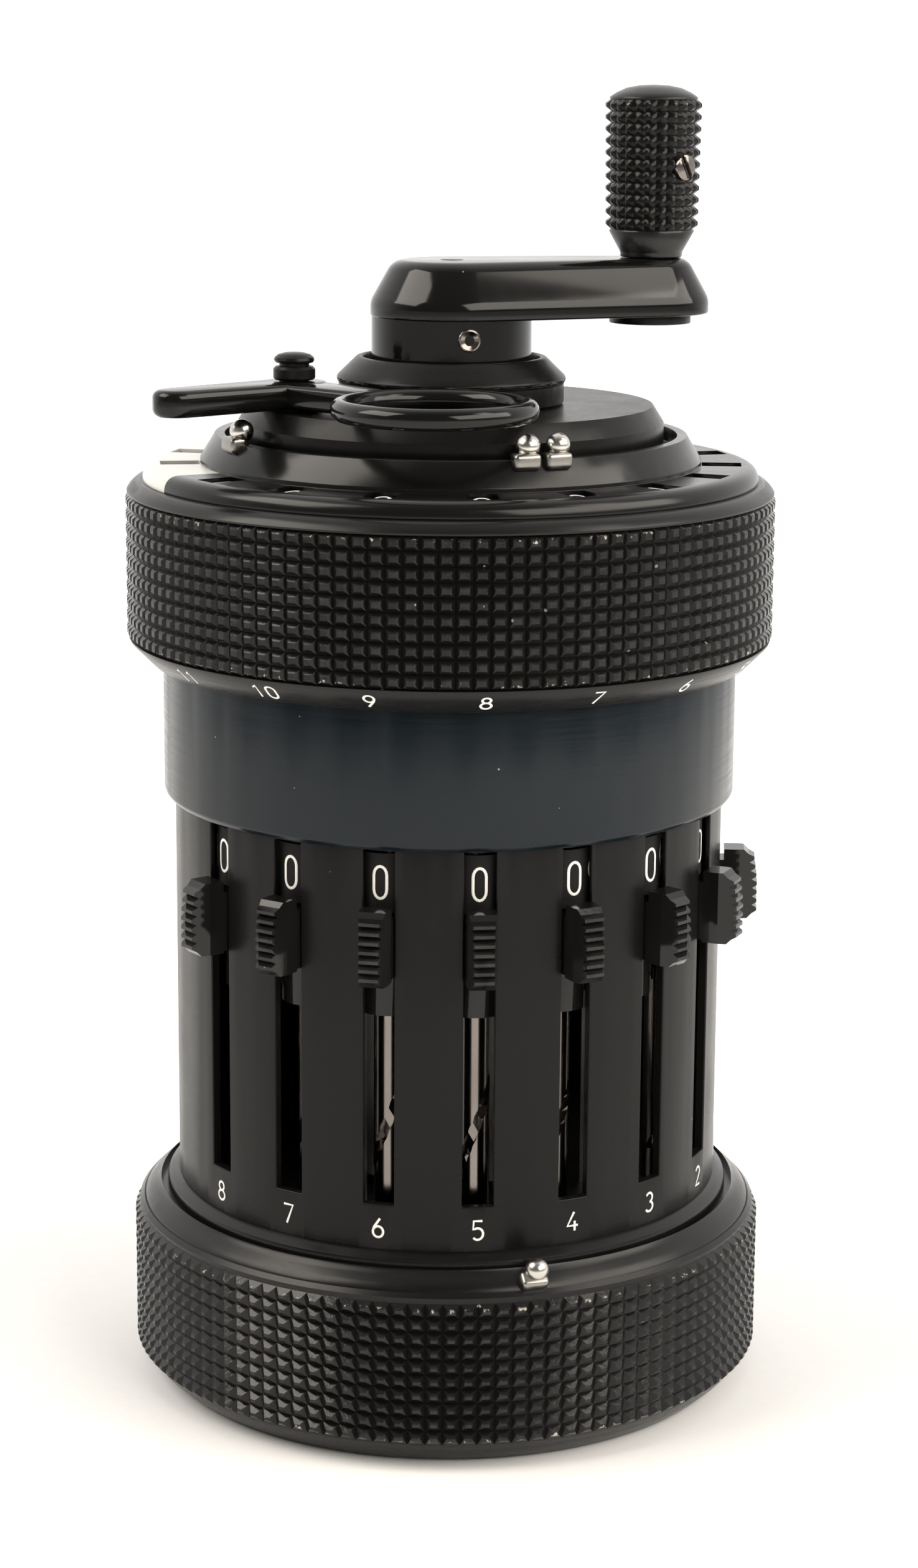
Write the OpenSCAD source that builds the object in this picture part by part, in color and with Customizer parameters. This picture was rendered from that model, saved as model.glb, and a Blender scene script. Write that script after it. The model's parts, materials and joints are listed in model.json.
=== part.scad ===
// Mechanical pocket calculator: a hand-held stepped-drum machine with a crank on top.
// Millimetres, +Z up along the main shaft, the underside of the base at z = 0.
// The front is towards -Y. Angles round the machine count from the front towards +X.

/* [Casing] */
// Depth of the knurl grooves
knurl_depth = 0.5; // [0.3:0.05:0.6]
// Number of knurl ridges round each grip
knurl_count = 120; // [100:2:140]
// Outer radius of the slotted body
body_r = 22.7; // [21:0.1:25]
// How far the knurled grips of the base and the carriage stand out from the body
grip_out = 3.8; // [3.5:0.1:4.3]
// Wall of the slotted body
body_wall = 0.8; // [0.6:0.1:1]

/* [Base] */
// Height of the chamfered foot below the base knurl
foot_h = 2.2; // [2:0.1:2.6]
// Height of the base knurl
base_knurl_h = 11.8; // [11:0.1:12.5]
// Height of the sloping shoulder above the base knurl
shoulder_h = 3.1; // [2.8:0.1:3.4]
// Thickness of the bottom plate
bottom_t = 1.6; // [1.2:0.1:2]
// Radius of the ball on each decimal marker
marker_ball_r = 0.9; // [0.7:0.05:0.95]
// Width of the foot of each decimal marker
marker_w = 2.15; // [1.8:0.05:2.2]
// Where the base marker stands, in degrees from the front
base_marker_angle = 1; // [-60:1:60]

/* [Setting sliders] */
// Number of setting places
places = 8; // [8:8]
// Angle from one place to the next
place_pitch = 20; // [20:20]
// Plain height between the base and the foot of the slots
label_h = 3.7; // [3.2:0.1:4.5]
// Width of a setting slot
slot_w = 2.5; // [2.3:0.05:2.6]
// Travel of a slider from 0 to 9
slider_travel = 18; // [18:0.1:19]
// Height of a slider's finger knob
knob_h = 5.9; // [5.6:0.1:6.2]
// How far a finger knob stands out of the body
knob_out = 3.1; // [2.8:0.1:3.6]
// Number of grip ridges on a finger knob
knob_ridges = 7; // [6:8]

/* [Setting shafts] */
// Gap between neighbouring numeral drums
numeral_gap = 0.36; // [0.3:0.02:0.6]
// Height of the numeral drum
numeral_h = 4.7; // [4.4:0.1:5]
// Radius of the grooved stem
stem_r = 1.3; // [1.2:0.05:1.4]
// Rise of the helical groove in one turn
helix_pitch = 20; // [20:20]
// Width of the helical groove
helix_w = 0.8; // [0.75:0.05:0.9]
// Depth of the helical groove
helix_depth = 0.6; // [0.5:0.05:0.65]
// Height above the slot's foot where the groove faces the front
helix_front = 5.7; // [4:0.1:8]

/* [Drive] */
// Distance from a setting shaft to its transmission shaft
arm_reach = 6.3; // [6.1:0.1:6.4]
// Radius of the main shaft
shaft_r = 3; // [2.6:0.1:3.2]
// Lift of the crank for subtraction
crank_lift = 3; // [3:3]
// Height of the teeth on the stepped drum
drum_tooth_h = 1.5; // [1.3:0.1:1.8]
// Outer radius of a transmission pinion
pinion_r = 1.75; // [1.65:0.05:1.85]
// Thickness of the bearing plates
plate_t = 2; // [1.8:0.1:2.2]

/* [Carriage] */
// Thickness of the band under the carriage
band_t = 0.9; // [0.7:0.1:1.1]
// Height of the band
band_h = 12.4; // [12:0.1:13]
// Height of the numbered bevel under the carriage knurl
bevel_h = 2; // [1.7:0.1:2.2]
// Height of the carriage knurl
carriage_knurl_h = 11.7; // [11.3:0.1:12.5]
// Height of the rounded edge of the cover
cover_edge_h = 1.35; // [1.2:0.05:1.6]
// Thickness of the cover
cover_t = 0.9; // [0.7:0.1:1.1]
// Thickness of the cover above the number dials
lid_t = 0.4; // [0.35:0.05:0.5]
// Width of the cover's edge outside the number windows
window_edge = 1.45; // [1.3:0.05:1.6]
// Height of the marker track above the cover
track_h = 1.15; // [1:0.05:1.3]
// Height of the lip that the markers straddle
lip_h = 1.2; // [1:0.1:1.4]
// Gap between neighbouring number dials at their inner ends
dial_gap = 0.57; // [0.5:0.01:0.9]
// Width of a number window
window_w = 2.4; // [2:0.1:2.5]
// Length of a number window
window_l = 3.2; // [2.8:0.1:3.2]
// Lift of the carriage
carriage_lift = 2.5; // [2:0.1:2.7]
// Radius of the bearing tube that the carriage turns on
tube_r = 5; // [4.6:0.1:5.2]
// Wire of the carriage spring
spring_wire = 0.8; // [0.7:0.05:0.9]

/* [Clearing] */
// Width of the marker track outside the clearing disc
track_w = 3.1; // [3:0.1:3.4]
// Height of the clearing disc
disc_h = 3.5; // [3.2:0.1:3.8]
// Bevel on the edge of the clearing disc
disc_bevel = 0.9; // [0.6:0.1:1.2]
// Wall of the collar under the crank, at its top edge
collar_wall = 0.45; // [0.35:0.05:0.6]
// Outer radius of the finger ring
ring_r = 8; // [7.6:0.1:8.2]
// Radial width of the finger ring
ring_w = 1.55; // [1.3:0.05:1.8]
// Thickness of the clearing lever
lever_t = 1.7; // [1.5:0.1:1.8]
// Distance of the lever's pivot from the edge of the clearing disc
pivot_in = 3.55; // [3.3:0.05:3.8]
// Where the pivot stands, in degrees from the front
pivot_angle = -81.5; // [-90:0.5:-70]
// Gap between the collar and the finger ring
ring_gap = 0.6; // [0.6:0.05:1]
// Where the finger ring stands, in degrees from the front
ring_angle = -20.3; // [-22:0.1:-18]

/* [Crank] */
// Radius of the crank's hub
hub_r = 6.6; // [6.3:0.1:6.7]
// Distance of the handle from the main shaft
crank_throw = 17; // [16.5:0.1:17.5]
// Radius of the arm's end round the handle
arm_end_r = 4.8; // [4.4:0.1:5]
// Height of the arm's straight sides
arm_side_h = 1.2; // [1:0.1:1.5]
// Height of the arm's sloping sides
arm_bevel_h = 3.3; // [3:0.1:3.6]
// Inward slope of the arm's sides
arm_bevel_w = 1.85; // [1.6:0.05:2]
// Height of the handle's knurl
handle_knurl_h = 10.4; // [9.8:0.1:11]
// Radius of the handle at its top
handle_r = 3.95; // [3.8:0.05:4.05]
// Radius of the handle's spindle
spindle_r = 1.6; // [1.4:0.1:1.8]

/* [Hidden] */
// Running clearance of a shaft in its bore, on the radius
run = 0.05;
// Clearance between pieces that pass each other
pass = 0.3;
// Small seating gap between pieces of different bodies
seat = 0.1;
// How far a cutting shape runs past what it cuts
cut = 1;
// Half the angle from one place to the next, as a sine
half_sin = sin(place_pitch / 2);

// Heights of the casing
base_top = foot_h + base_knurl_h + shoulder_h;
base_seat_z = base_top - plate_t - seat;
slot_z = base_top + label_h;
slot_end = 0.6;
knob_drop = 0.2;
knob_z = slot_z + slot_end + slider_travel;
boss_drop = 3.4;
boss_rise = 4.8;
boss_z = knob_z - boss_drop;
boss_top = knob_z + boss_rise;
numeral_z = boss_top + pass;
numeral_top = numeral_z + numeral_h;
band_lap = 0.45;
plate_lap = 0.8;
band_z = numeral_top + band_lap;
plate_z = numeral_top + plate_lap;
band_top = band_z + band_h;

// Radii of the casing
casing_r = body_r + grip_out;
body_bore = body_r - body_wall;
band_r = body_r + band_t;
drum_room = body_r - 0.4;
drum_bore = drum_room - seat;
// the numeral drums fill the room that their neighbours and the recess in the wall leave
numeral_r = (drum_bore * half_sin - numeral_gap / 2) / (1 + half_sin);
shaft_orbit = drum_bore - numeral_r;
trans_orbit = shaft_orbit - arm_reach;
foot_in = 3;
foot_r = casing_r - foot_in;
knurl_core = casing_r - 2 * knurl_depth - 0.2;
bottom_r = foot_r - 1;
cavity_r = bottom_r - 0.8;
ledge_t = 2;
bottom_screw_orbit = 15;
bottom_screw_r = 1.2;
bottom_screw_angles = [60, 180, 300];

// Groove and foot of the base marker, and the fine line round the shoulder
marker_groove_r = body_r + 1.3;
marker_groove_w = 0.6;
marker_groove_d = 1.5;
line_r = casing_r - 0.85;
line_w = 0.2;

// Setting motion
stem_z = base_top + pass;
pin_rise = 4.1;
pin_z = boss_z + pin_rise;
pin_r = 0.25;
helix_low = pin_z - slider_travel - 1;
helix_h = slider_travel + 2;
pivot_pin_r = 0.7;
boss_r = 2.6;

// Drive train
pinion_teeth = 5;
pinion_h = 0.8;
pinion_root = 0.85;
pinion_z = pin_z;
row_h = 0.9;
row_step = slider_travel / 9;
tooth_pitch = 10;
drum_tip = trans_orbit - pinion_root - 0.25;
drum_r = drum_tip - drum_tooth_h;
drum_home = 150;
key_w = 0.8;
drum_low = pinion_z - slider_travel - crank_lift - 0.7;
drum_high = pinion_z + 0.7;
bell_r = trans_orbit - 1.6;
bell_z = drum_high + crank_lift + pass;
bell_h = plate_z - bell_z - pass;
shaft_low = base_seat_z - 4;
journal_r = 0.6;
fork_gap = pinion_h / 2 + 0.1;
fork_t = 0.7;
fork_w = 2.4;
fork_bore = 0.75;
key_play = 0.03;

// Carriage heights and radii
ring_z = band_top - 1.15;
ring_knurl_z = ring_z + bevel_h;
ring_edge_h = 1.05;
ring_top = ring_knurl_z + carriage_knurl_h + ring_edge_h;
ring_bore = band_r + 1;
ring_lip = band_r + 0.4;
ring_lip_h = 1;
cover_r = casing_r - 1.4;
window_in = cover_r - window_edge - window_l;
track_r = window_in - 0.05;
cover_top = ring_top + cover_edge_h;
cover_under = cover_top - cover_t;
track_top = cover_top + track_h;
lip_top = track_top + lip_h;
lip_r = track_r - 1.2;
lip_w = 0.8;
wall_foot = 0.35;
// how much wider the wall of the lip gets for each millimetre down
wall_slope = (track_r - lip_r) / (lip_top - cover_top - wall_foot);
lid_under = cover_top - lid_t;
pocket_in = track_r - 0.1;
// the crown of a dial stands in its window, just clear of the window's edges
dial_play = 0.2;
dial_w = window_l - 2 * dial_play;
dial_in = window_in + dial_play;
dial_out = dial_in + dial_w;
dial_r = dial_in * half_sin - dial_gap / 2;
dial_crown = dial_r - sqrt(dial_r * dial_r - window_w * window_w / 4);
dial_z = lid_under + dial_crown - 0.08 - dial_r;
axle_r = 0.8;
bevel_r = trans_orbit * half_sin - 0.22;
bevel_tip_r = 1.2;
bevel_out = trans_orbit + 2.2;
bevel_in = trans_orbit + 1;
skirt_out = trans_orbit - 1.4;
skirt_t = 1;
skirt_in = skirt_out - skirt_t;
gear_top = dial_z - bevel_r - pass;
gear_h = 1.5;
sleeve_in = tube_r + 2.2;
sleeve_out = sleeve_in + 1.4;
sleeve_drop = 10.05;
sleeve_z = cover_under - sleeve_drop;
shoulder_t = 1.5;
shift_angle = 60;
result_places = 11;
counter_places = 6;
all_places = result_places + counter_places;
register_gap = 1.5 * place_pitch;

// Clearing gear and collar
disc_r = track_r - track_w;
disc_z = track_top + seat;
disc_top = disc_z + disc_h;
disc_bore = sleeve_out + run;
collar_z = disc_top + seat;
collar_neck_h = 2.1;
collar_cone_h = 1.6;
collar_lean = 1.65;
collar_top_r = sleeve_in + collar_wall;
collar_r = collar_top_r + collar_lean;
collar_top = collar_z + collar_neck_h + collar_cone_h;
tube_top = disc_top - 0.1;
flange_t = 1.5;
flange_r = sleeve_in - pass;
seat_ring_h = 1.5;
spring_z0 = sleeve_z + shoulder_t + seat + seat_ring_h;
spring_z1 = tube_top - flange_t;
spring_r = (tube_r + sleeve_in) / 2;
spring_turns = 5;
lever_z = disc_top + 0.5;
pivot_orbit = disc_r - pivot_in;
ring_orbit = collar_r + ring_gap + ring_r;
pivot_r = 1.2;
pivot_foot_r = 1;
pivot_foot_d = 2;
button_r = 1.65;
tail_l = 13.6;
tail_angle = 91;

// Crank
arm_z = collar_top + carriage_lift + 0.7;
hub_z = collar_top - 0.8;
arm_top = arm_z + arm_side_h + arm_bevel_h;
handle_z = arm_top + pass;
handle_cone_h = 2;
handle_dome_h = 1.15;
handle_neck = 2.5;
handle_ridges = 26;
spindle_head_h = 0.8;
handle_top = handle_z + handle_cone_h + handle_knurl_h + handle_dome_h;

// Reversing lever at the back
reverse_w = 2.2;
reverse_h = 3;
reverse_travel = 4;
reverse_rise = 7.6;
reverse_z = band_z + reverse_rise;

$fn = 96;

// Angle of setting place k, counted from the front
function slider_angle(k) = ((places + 1) / 2 - k) * place_pitch;
// Angle of result place k with the carriage as it stands
function result_angle(k) = slider_angle(k) + shift_angle;
// Angle of counter place k, on the far side of the carriage
function counter_angle(k) = result_angle(result_places) - register_gap - (k - 1) * place_pitch;
// Angle of transmission shaft k: those of the result register, then those of the counter
function trans_angle(k) =
    k <= result_places ? slider_angle(k) : counter_angle(k - result_places) - shift_angle;
// A point of the curve from a to c that bends towards b
function bend(a, b, c, t) = (1 - t) * (1 - t) * a + 2 * t * (1 - t) * b + t * t * c;
// Angle that a marker's foot takes at the radius r
function marker_span(r) = 2 * asin(marker_w / 2 / r);
// Where the marker k stands on the track
function marker_angle(k) = [2, 9.6, -77.6][k - 1];

// Angles of all the number dials
dial_angles = concat(
    [for (k = [1 : result_places]) result_angle(k)],
    [for (k = [1 : counter_places]) counter_angle(k)]
);

// Turns local +X to the angle a from the front
module place(a) {
    rotate([0, 0, a - 90]) children();
}

// A ring of straight knurl ridges, as a solid prism that may widen towards its top
module knurl(r, h, count, widen = 1) {
    linear_extrude(h, scale = widen)
        polygon([for (i = [0 : 2 * count - 1])
            (r - (i % 2) * knurl_depth) * [cos(180 * i / count), sin(180 * i / count)]]);
}

// A washer of inner radius r0 and outer radius r1
module tube(r0, r1, h) {
    difference() {
        cylinder(r = r1, h = h);
        translate([0, 0, -1]) cylinder(r = r0, h = h + 2);
    }
}

module base_ring() {
    slope = [for (t = [0 : 0.125 : 1])
        bend([casing_r - 0.05, foot_h + base_knurl_h],
             [(casing_r + body_r) / 2 + 0.4, base_top - shoulder_h / 2 + 0.35],
             [body_r, base_top], t)];
    color("#1b1b1c") difference() {
        union() {
            rotate_extrude() polygon(concat(
                [[0, 0], [foot_r, 0], [foot_r + 0.7, 0.3], [casing_r - 1.15, foot_h - 0.85]],
                [[casing_r - 0.55, foot_h], [knurl_core, foot_h]],
                [[knurl_core, foot_h + base_knurl_h]],
                slope, [[0, base_top]]));
            translate([0, 0, foot_h]) knurl(casing_r, base_knurl_h, knurl_count);
        }
        // recess of the bottom plate, the hollow of the base and the bore for the body
        translate([0, 0, -cut]) cylinder(r = bottom_r, h = bottom_t + cut);
        translate([0, 0, bottom_t - cut]) cylinder(r = cavity_r, h = base_seat_z - ledge_t - bottom_t + cut);
        translate([0, 0, base_seat_z - ledge_t - cut]) cylinder(r = body_bore - 1.5, h = base_top);
        translate([0, 0, base_seat_z]) cylinder(r = body_r, h = base_top);
        // groove that guides the decimal marker, and the fine line below the slope
        translate([0, 0, base_top - marker_groove_d])
            tube(marker_groove_r - marker_groove_w / 2, marker_groove_r + marker_groove_w / 2, shoulder_h);
        translate([0, 0, foot_h + base_knurl_h + 0.55])
            tube(line_r - line_w / 2, line_r + line_w / 2, shoulder_h);
    }
}

module bottom_plate() {
    color("#232324") difference() {
        cylinder(r = bottom_r, h = bottom_t);
        for (a = bottom_screw_angles)
            place(a) translate([bottom_screw_orbit, 0, -1])
                cylinder(r = bottom_screw_r, h = bottom_t + 2, $fn = 32);
    }
}

module body_housing() {
    slot_top = band_z + 0.3;
    color("#1e1e1f") difference() {
        translate([0, 0, base_seat_z]) cylinder(r = body_r, h = band_top - base_seat_z);
        translate([0, 0, base_seat_z - 1]) cylinder(r = body_bore, h = band_top);
        translate([0, 0, numeral_z - pass]) cylinder(r = drum_room, h = numeral_h + 2 * pass);
        for (k = [1 : places])
            place(slider_angle(k)) translate([body_bore - cut, -slot_w / 2, slot_z])
                cube([body_wall + 2 * cut, slot_w, slot_top - slot_z]);
        reverse_slot();
    }
}

// Opening for the reversing lever, through the band and the body
module reverse_slot() {
    play = 0.15;
    place(180) translate([body_bore - cut, -reverse_w / 2 - play, reverse_z - reverse_travel - pass])
        cube([body_wall + band_t + 2 * cut, reverse_w + 2 * play, reverse_h + reverse_travel + 2 * pass]);
}

module collar_band() {
    color("#4a5158") difference() {
        rotate_extrude() polygon([
            [body_r, band_z], [band_r - 0.4, band_z], [band_r, band_z + 0.5],
            [band_r, band_top], [body_r, band_top]]);
        reverse_slot();
    }
}

module lower_bearing_plate() {
    color("#8d8f92") difference() {
        translate([0, 0, base_seat_z]) cylinder(r = body_bore, h = plate_t);
        plate_bores(base_seat_z, places);
    }
}

module upper_bearing_plate() {
    color("#8d8f92") difference() {
        translate([0, 0, plate_z]) cylinder(r = body_bore, h = plate_t);
        plate_bores(plate_z, all_places);
        translate([0, 0, plate_z - 1]) cylinder(r = tube_r, h = plate_t + 2);
    }
}

// Bores of a bearing plate for the main shaft, the setting shafts and the transmission shafts
module plate_bores(z, trans_count) {
    translate([0, 0, z - 1]) {
        cylinder(r = shaft_r + run, h = plate_t + 2);
        for (k = [1 : places])
            place(slider_angle(k)) translate([shaft_orbit, 0, 0])
                cylinder(r = pivot_pin_r + run, h = plate_t + 2, $fn = 32);
        for (k = [1 : trans_count])
            place(trans_angle(k)) translate([trans_orbit, 0, 0])
                cylinder(r = journal_r, h = plate_t + 2, $fn = 32);
    }
}

module bearing_tube() {
    color("#9a9c9f") difference() {
        union() {
            translate([0, 0, plate_z]) cylinder(r = tube_r, h = tube_top - plate_z);
            translate([0, 0, plate_z + plate_t])
                cylinder(r = tube_r + 1.5, h = sleeve_z - seat - plate_z - plate_t);
            translate([0, 0, tube_top - flange_t]) cylinder(r = flange_r, h = flange_t);
        }
        translate([0, 0, plate_z - 1]) cylinder(r = shaft_r + run, h = tube_top - plate_z + 2);
    }
}

module transmission_shafts() {
    color("#c9cbce") for (k = [1 : all_places])
        place(trans_angle(k)) translate([trans_orbit, 0, 0]) {
            long = k <= places;
            journal_z = long ? base_seat_z : plate_z;
            translate([0, 0, journal_z]) cylinder(r = journal_r, h = plate_t, $fn = 32);
            if (long)
                translate([-key_w / 2, -key_w / 2, base_seat_z + plate_t])
                    cube([key_w, key_w, plate_z - base_seat_z - plate_t]);
            translate([0, 0, plate_z]) cylinder(r = journal_r, h = gear_top - plate_z, $fn = 32);
            translate([0, 0, gear_top - gear_h]) cylinder(r1 = bevel_r, r2 = bevel_tip_r, h = gear_h, $fn = 32);
        }
}

// Height of the straight line under the base's bulging slope, at the radius r
function slope_z(r) = base_top - (r - body_r) * shoulder_h / grip_out;

// Base marker: a ball on a foot that slides round the shoulder
module base_marker() {
    tongue = marker_groove_w / 2 - seat;
    inner = marker_groove_r - tongue;
    outer = marker_groove_r + tongue;
    edge = marker_groove_r + 1.3;
    ball = marker_groove_r + 1;
    tongue_z = base_top - marker_groove_d + seat;
    span = marker_span(marker_groove_r);
    color("#d8d8d6") place(base_marker_angle) {
        rotate([0, 0, -span / 2]) rotate_extrude(angle = span) polygon([
            [inner, tongue_z], [outer, tongue_z], [outer, slope_z(outer) + 0.5],
            [edge, slope_z(edge) + 0.5], [edge + 0.2, slope_z(edge) + 0.95],
            [outer, slope_z(outer) + 1.05], [inner, slope_z(outer) + 1.05]]);
        translate([ball, 0, slope_z(ball) + 0.6 + marker_ball_r]) sphere(r = marker_ball_r, $fn = 48);
    }
}

module reversing_lever() {
    tab_out = 1.8;
    rib = 0.4;
    guide_w = 2 * reverse_w;
    guide_t = 1.2;
    guide_in = body_bore - guide_t - 0.5;
    guide_drop = 1;
    color("#1a1a1b") place(180) {
        translate([guide_in + 0.3, -reverse_w / 2, reverse_z])
            cube([band_r + tab_out - guide_in - 0.3, reverse_w, reverse_h]);
        translate([guide_in, -guide_w / 2, reverse_z - guide_drop])
            cube([guide_t, guide_w, reverse_h + guide_drop]);
        for (z = [0.3 : 2 * rib : reverse_h - 0.6])
            translate([band_r + tab_out, -reverse_w / 2, reverse_z + z]) cube([0.35, reverse_w, rib]);
    }
}

// Setting slider: finger knob outside, boss on the setting shaft, fork on the pinion
module slider(k) {
    neck_w = slot_w - 2 * seat;
    groove_a = (pin_z - slot_z - helix_front) * 360 / helix_pitch;
    knob_in = body_r + pass;
    color("#222223") place(slider_angle(k)) {
        difference() {
            union() {
                finger_knob(knob_in, neck_w);
                translate([shaft_orbit + stem_r, -neck_w / 2, knob_z])
                    cube([knob_in - shaft_orbit - stem_r + 0.5, neck_w, boss_top - knob_z]);
                translate([shaft_orbit, 0, boss_z]) cylinder(r = boss_r, h = boss_top - boss_z);
                for (z = [pinion_z - fork_gap - fork_t, pinion_z + fork_gap])
                    translate([trans_orbit - 0.1, -fork_w / 2, z])
                        cube([arm_reach - stem_r, fork_w, fork_t]);
                translate([trans_orbit + pinion_r + pass, -fork_w / 2, pinion_z - fork_gap - fork_t])
                    cube([arm_reach - stem_r - pinion_r - pass, fork_w, 2 * (fork_gap + fork_t)]);
            }
            translate([shaft_orbit, 0, boss_z - 1]) cylinder(r = stem_r + run, h = boss_top - boss_z + 2);
            translate([trans_orbit, 0, pinion_z - boss_drop])
                cylinder(r = fork_bore, h = 2 * boss_drop, $fn = 32);
        }
        // pin that runs in the helical groove
        translate([shaft_orbit, 0, pin_z]) rotate([0, 0, groove_a]) rotate([0, 90, 0])
            translate([0, 0, stem_r - helix_depth + seat])
                cylinder(r = pin_r, h = helix_depth + 0.4, $fn = 24);
        translate([trans_orbit, 0, pinion_z - pinion_h / 2]) pinion();
    }
}

// Ridged finger knob, narrower at its face than at its foot, its upper ridges leaning back
module finger_knob(knob_in, w) {
    face = body_r + knob_out;
    low = knob_z - knob_drop;
    high = low + knob_h;
    edge = 0.4;
    cleft = 0.4;
    ridge = (knob_h - 2 * edge) / knob_ridges;
    face_w = w * 0.68;
    taper_l = 1.5;
    // how far the face leans back at the step i
    function lean(i) = 0.1 * max(0, i - knob_ridges / 2);
    difference() {
        translate([0, w / 2, 0]) rotate([90, 0, 0]) linear_extrude(w) polygon(concat(
            [[knob_in, low], [face - cleft - edge, low]],
            [for (i = [0 : knob_ridges - 1]) each [
                [face - cleft - lean(i), low + edge + i * ridge],
                [face - lean(i), low + edge + (i + 0.3) * ridge],
                [face - lean(i), low + edge + (i + 0.65) * ridge]]],
            [[face - cleft - lean(knob_ridges), high - edge]],
            [[face - 2 * cleft - lean(knob_ridges), high], [knob_in, high]]));
        for (s = [-1, 1])
            translate([face - taper_l, s * w / 2, low - cut])
                rotate([0, 0, -s * atan2(w - face_w, 2 * taper_l)])
                    translate([0, s > 0 ? 0 : -w, 0]) cube([3 * taper_l, w, knob_h + 2 * cut]);
    }
}

// Five-toothed pinion with a square hole for its shaft
module pinion() {
    tooth_w = 0.6;
    hole_w = key_w + 2 * key_play;
    difference() {
        union() {
            cylinder(r = pinion_root, h = pinion_h, $fn = 32);
            for (i = [0 : pinion_teeth - 1])
                rotate([0, 0, i * 360 / pinion_teeth]) linear_extrude(pinion_h) polygon([
                    [0, -tooth_w / 2], [pinion_r - 0.25, -tooth_w / 2], [pinion_r, -tooth_w / 4],
                    [pinion_r, tooth_w / 4], [pinion_r - 0.25, tooth_w / 2], [0, tooth_w / 2]]);
        }
        translate([-hole_w / 2, -hole_w / 2, -1]) cube([hole_w, hole_w, pinion_h + 2]);
    }
}

// Setting shaft: numeral drum above, helical groove in the stem below
module setting_shaft(k) {
    low = base_seat_z + 0.3;
    high = plate_z + plate_t - 0.1;
    start_a = (helix_low - slot_z - helix_front) * 360 / helix_pitch;
    color("#cfd0d2") place(slider_angle(k)) translate([shaft_orbit, 0, 0]) {
        translate([0, 0, low]) cylinder(r = pivot_pin_r, h = high - low, $fn = 32);
        translate([0, 0, numeral_z]) cylinder(r = numeral_r, h = numeral_h);
        difference() {
            translate([0, 0, stem_z]) cylinder(r = stem_r, h = numeral_z - stem_z);
            translate([0, 0, helix_low]) rotate([0, 0, start_a])
                linear_extrude(helix_h, twist = -360 * helix_h / helix_pitch, slices = 20, $fn = 4)
                    translate([stem_r - helix_depth, -helix_w / 2]) square([1, helix_w]);
        }
    }
}

module spring_seat() {
    color("#8d8f92") translate([0, 0, sleeve_z + shoulder_t + seat])
        tube(tube_r + run, sleeve_in - seat, seat_ring_h);
}

// Points round the coil of the carriage spring, flat at neither end
function coil_at(t) = let (rise = spring_z1 - spring_z0 - spring_wire - 0.2)
    [spring_r * cos(360 * spring_turns * t), spring_r * sin(360 * spring_turns * t),
     spring_z0 + spring_wire / 2 + 0.1 + rise * t];

// Least gap between neighbouring turns of the spring, measured on points n to a turn
function coil_gap(n) = min([for (i = [0 : n * (spring_turns - 1)])
    norm(coil_at((i + n) / (n * spring_turns)) - coil_at(i / (n * spring_turns)))]) - spring_wire;
echo(str("carriage_spring least gap between turns: ", coil_gap(24), " mm"));

module carriage_spring() {
    rings = 24 * spring_turns;
    sides = 6;
    points = [for (i = [0 : rings]) let (a = 360 * spring_turns * i / rings, c = coil_at(i / rings))
        for (j = [0 : sides - 1]) let (b = 360 * j / sides, q = spring_wire / 2 * cos(b))
            [c.x + q * cos(a), c.y + q * sin(a), c.z + spring_wire / 2 * sin(b)]];
    sides_faces = [for (i = [0 : rings - 1], j = [0 : sides - 1]) let (n = (j + 1) % sides) each [
        [i * sides + j, (i + 1) * sides + j, (i + 1) * sides + n],
        [i * sides + j, (i + 1) * sides + n, i * sides + n]]];
    ends = [for (j = [1 : sides - 2]) each [
        [0, j, j + 1], [rings * sides, rings * sides + j + 1, rings * sides + j]]];
    color("#b9bbbd") polyhedron(points, concat(sides_faces, ends));
}

module carriage_ring() {
    color("#1b1b1c") difference() {
        union() {
            rotate_extrude() polygon([
                [0, ring_z], [ring_lip + 0.5, ring_z], [casing_r - 0.2, ring_knurl_z - 0.25],
                [casing_r - 0.15, ring_knurl_z],
                [knurl_core, ring_knurl_z], [knurl_core, ring_knurl_z + carriage_knurl_h],
                [casing_r - 0.05, ring_knurl_z + carriage_knurl_h], [casing_r - 0.1, ring_top - 0.85],
                [cover_r + 0.3, ring_top], [0, ring_top]]);
            translate([0, 0, ring_knurl_z]) knurl(casing_r, carriage_knurl_h, knurl_count);
        }
        translate([0, 0, ring_z - cut]) cylinder(r = ring_lip, h = ring_top - ring_z + 2 * cut);
        translate([0, 0, ring_z + ring_lip_h]) cylinder(r = ring_bore, h = ring_top - ring_z);
        for (a = dial_angles)
            place(a) translate([ring_bore - 1, 0, dial_z]) rotate([0, 90, 0])
                cylinder(r = pivot_pin_r + run, h = 1.7, $fn = 32);
    }
}

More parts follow.
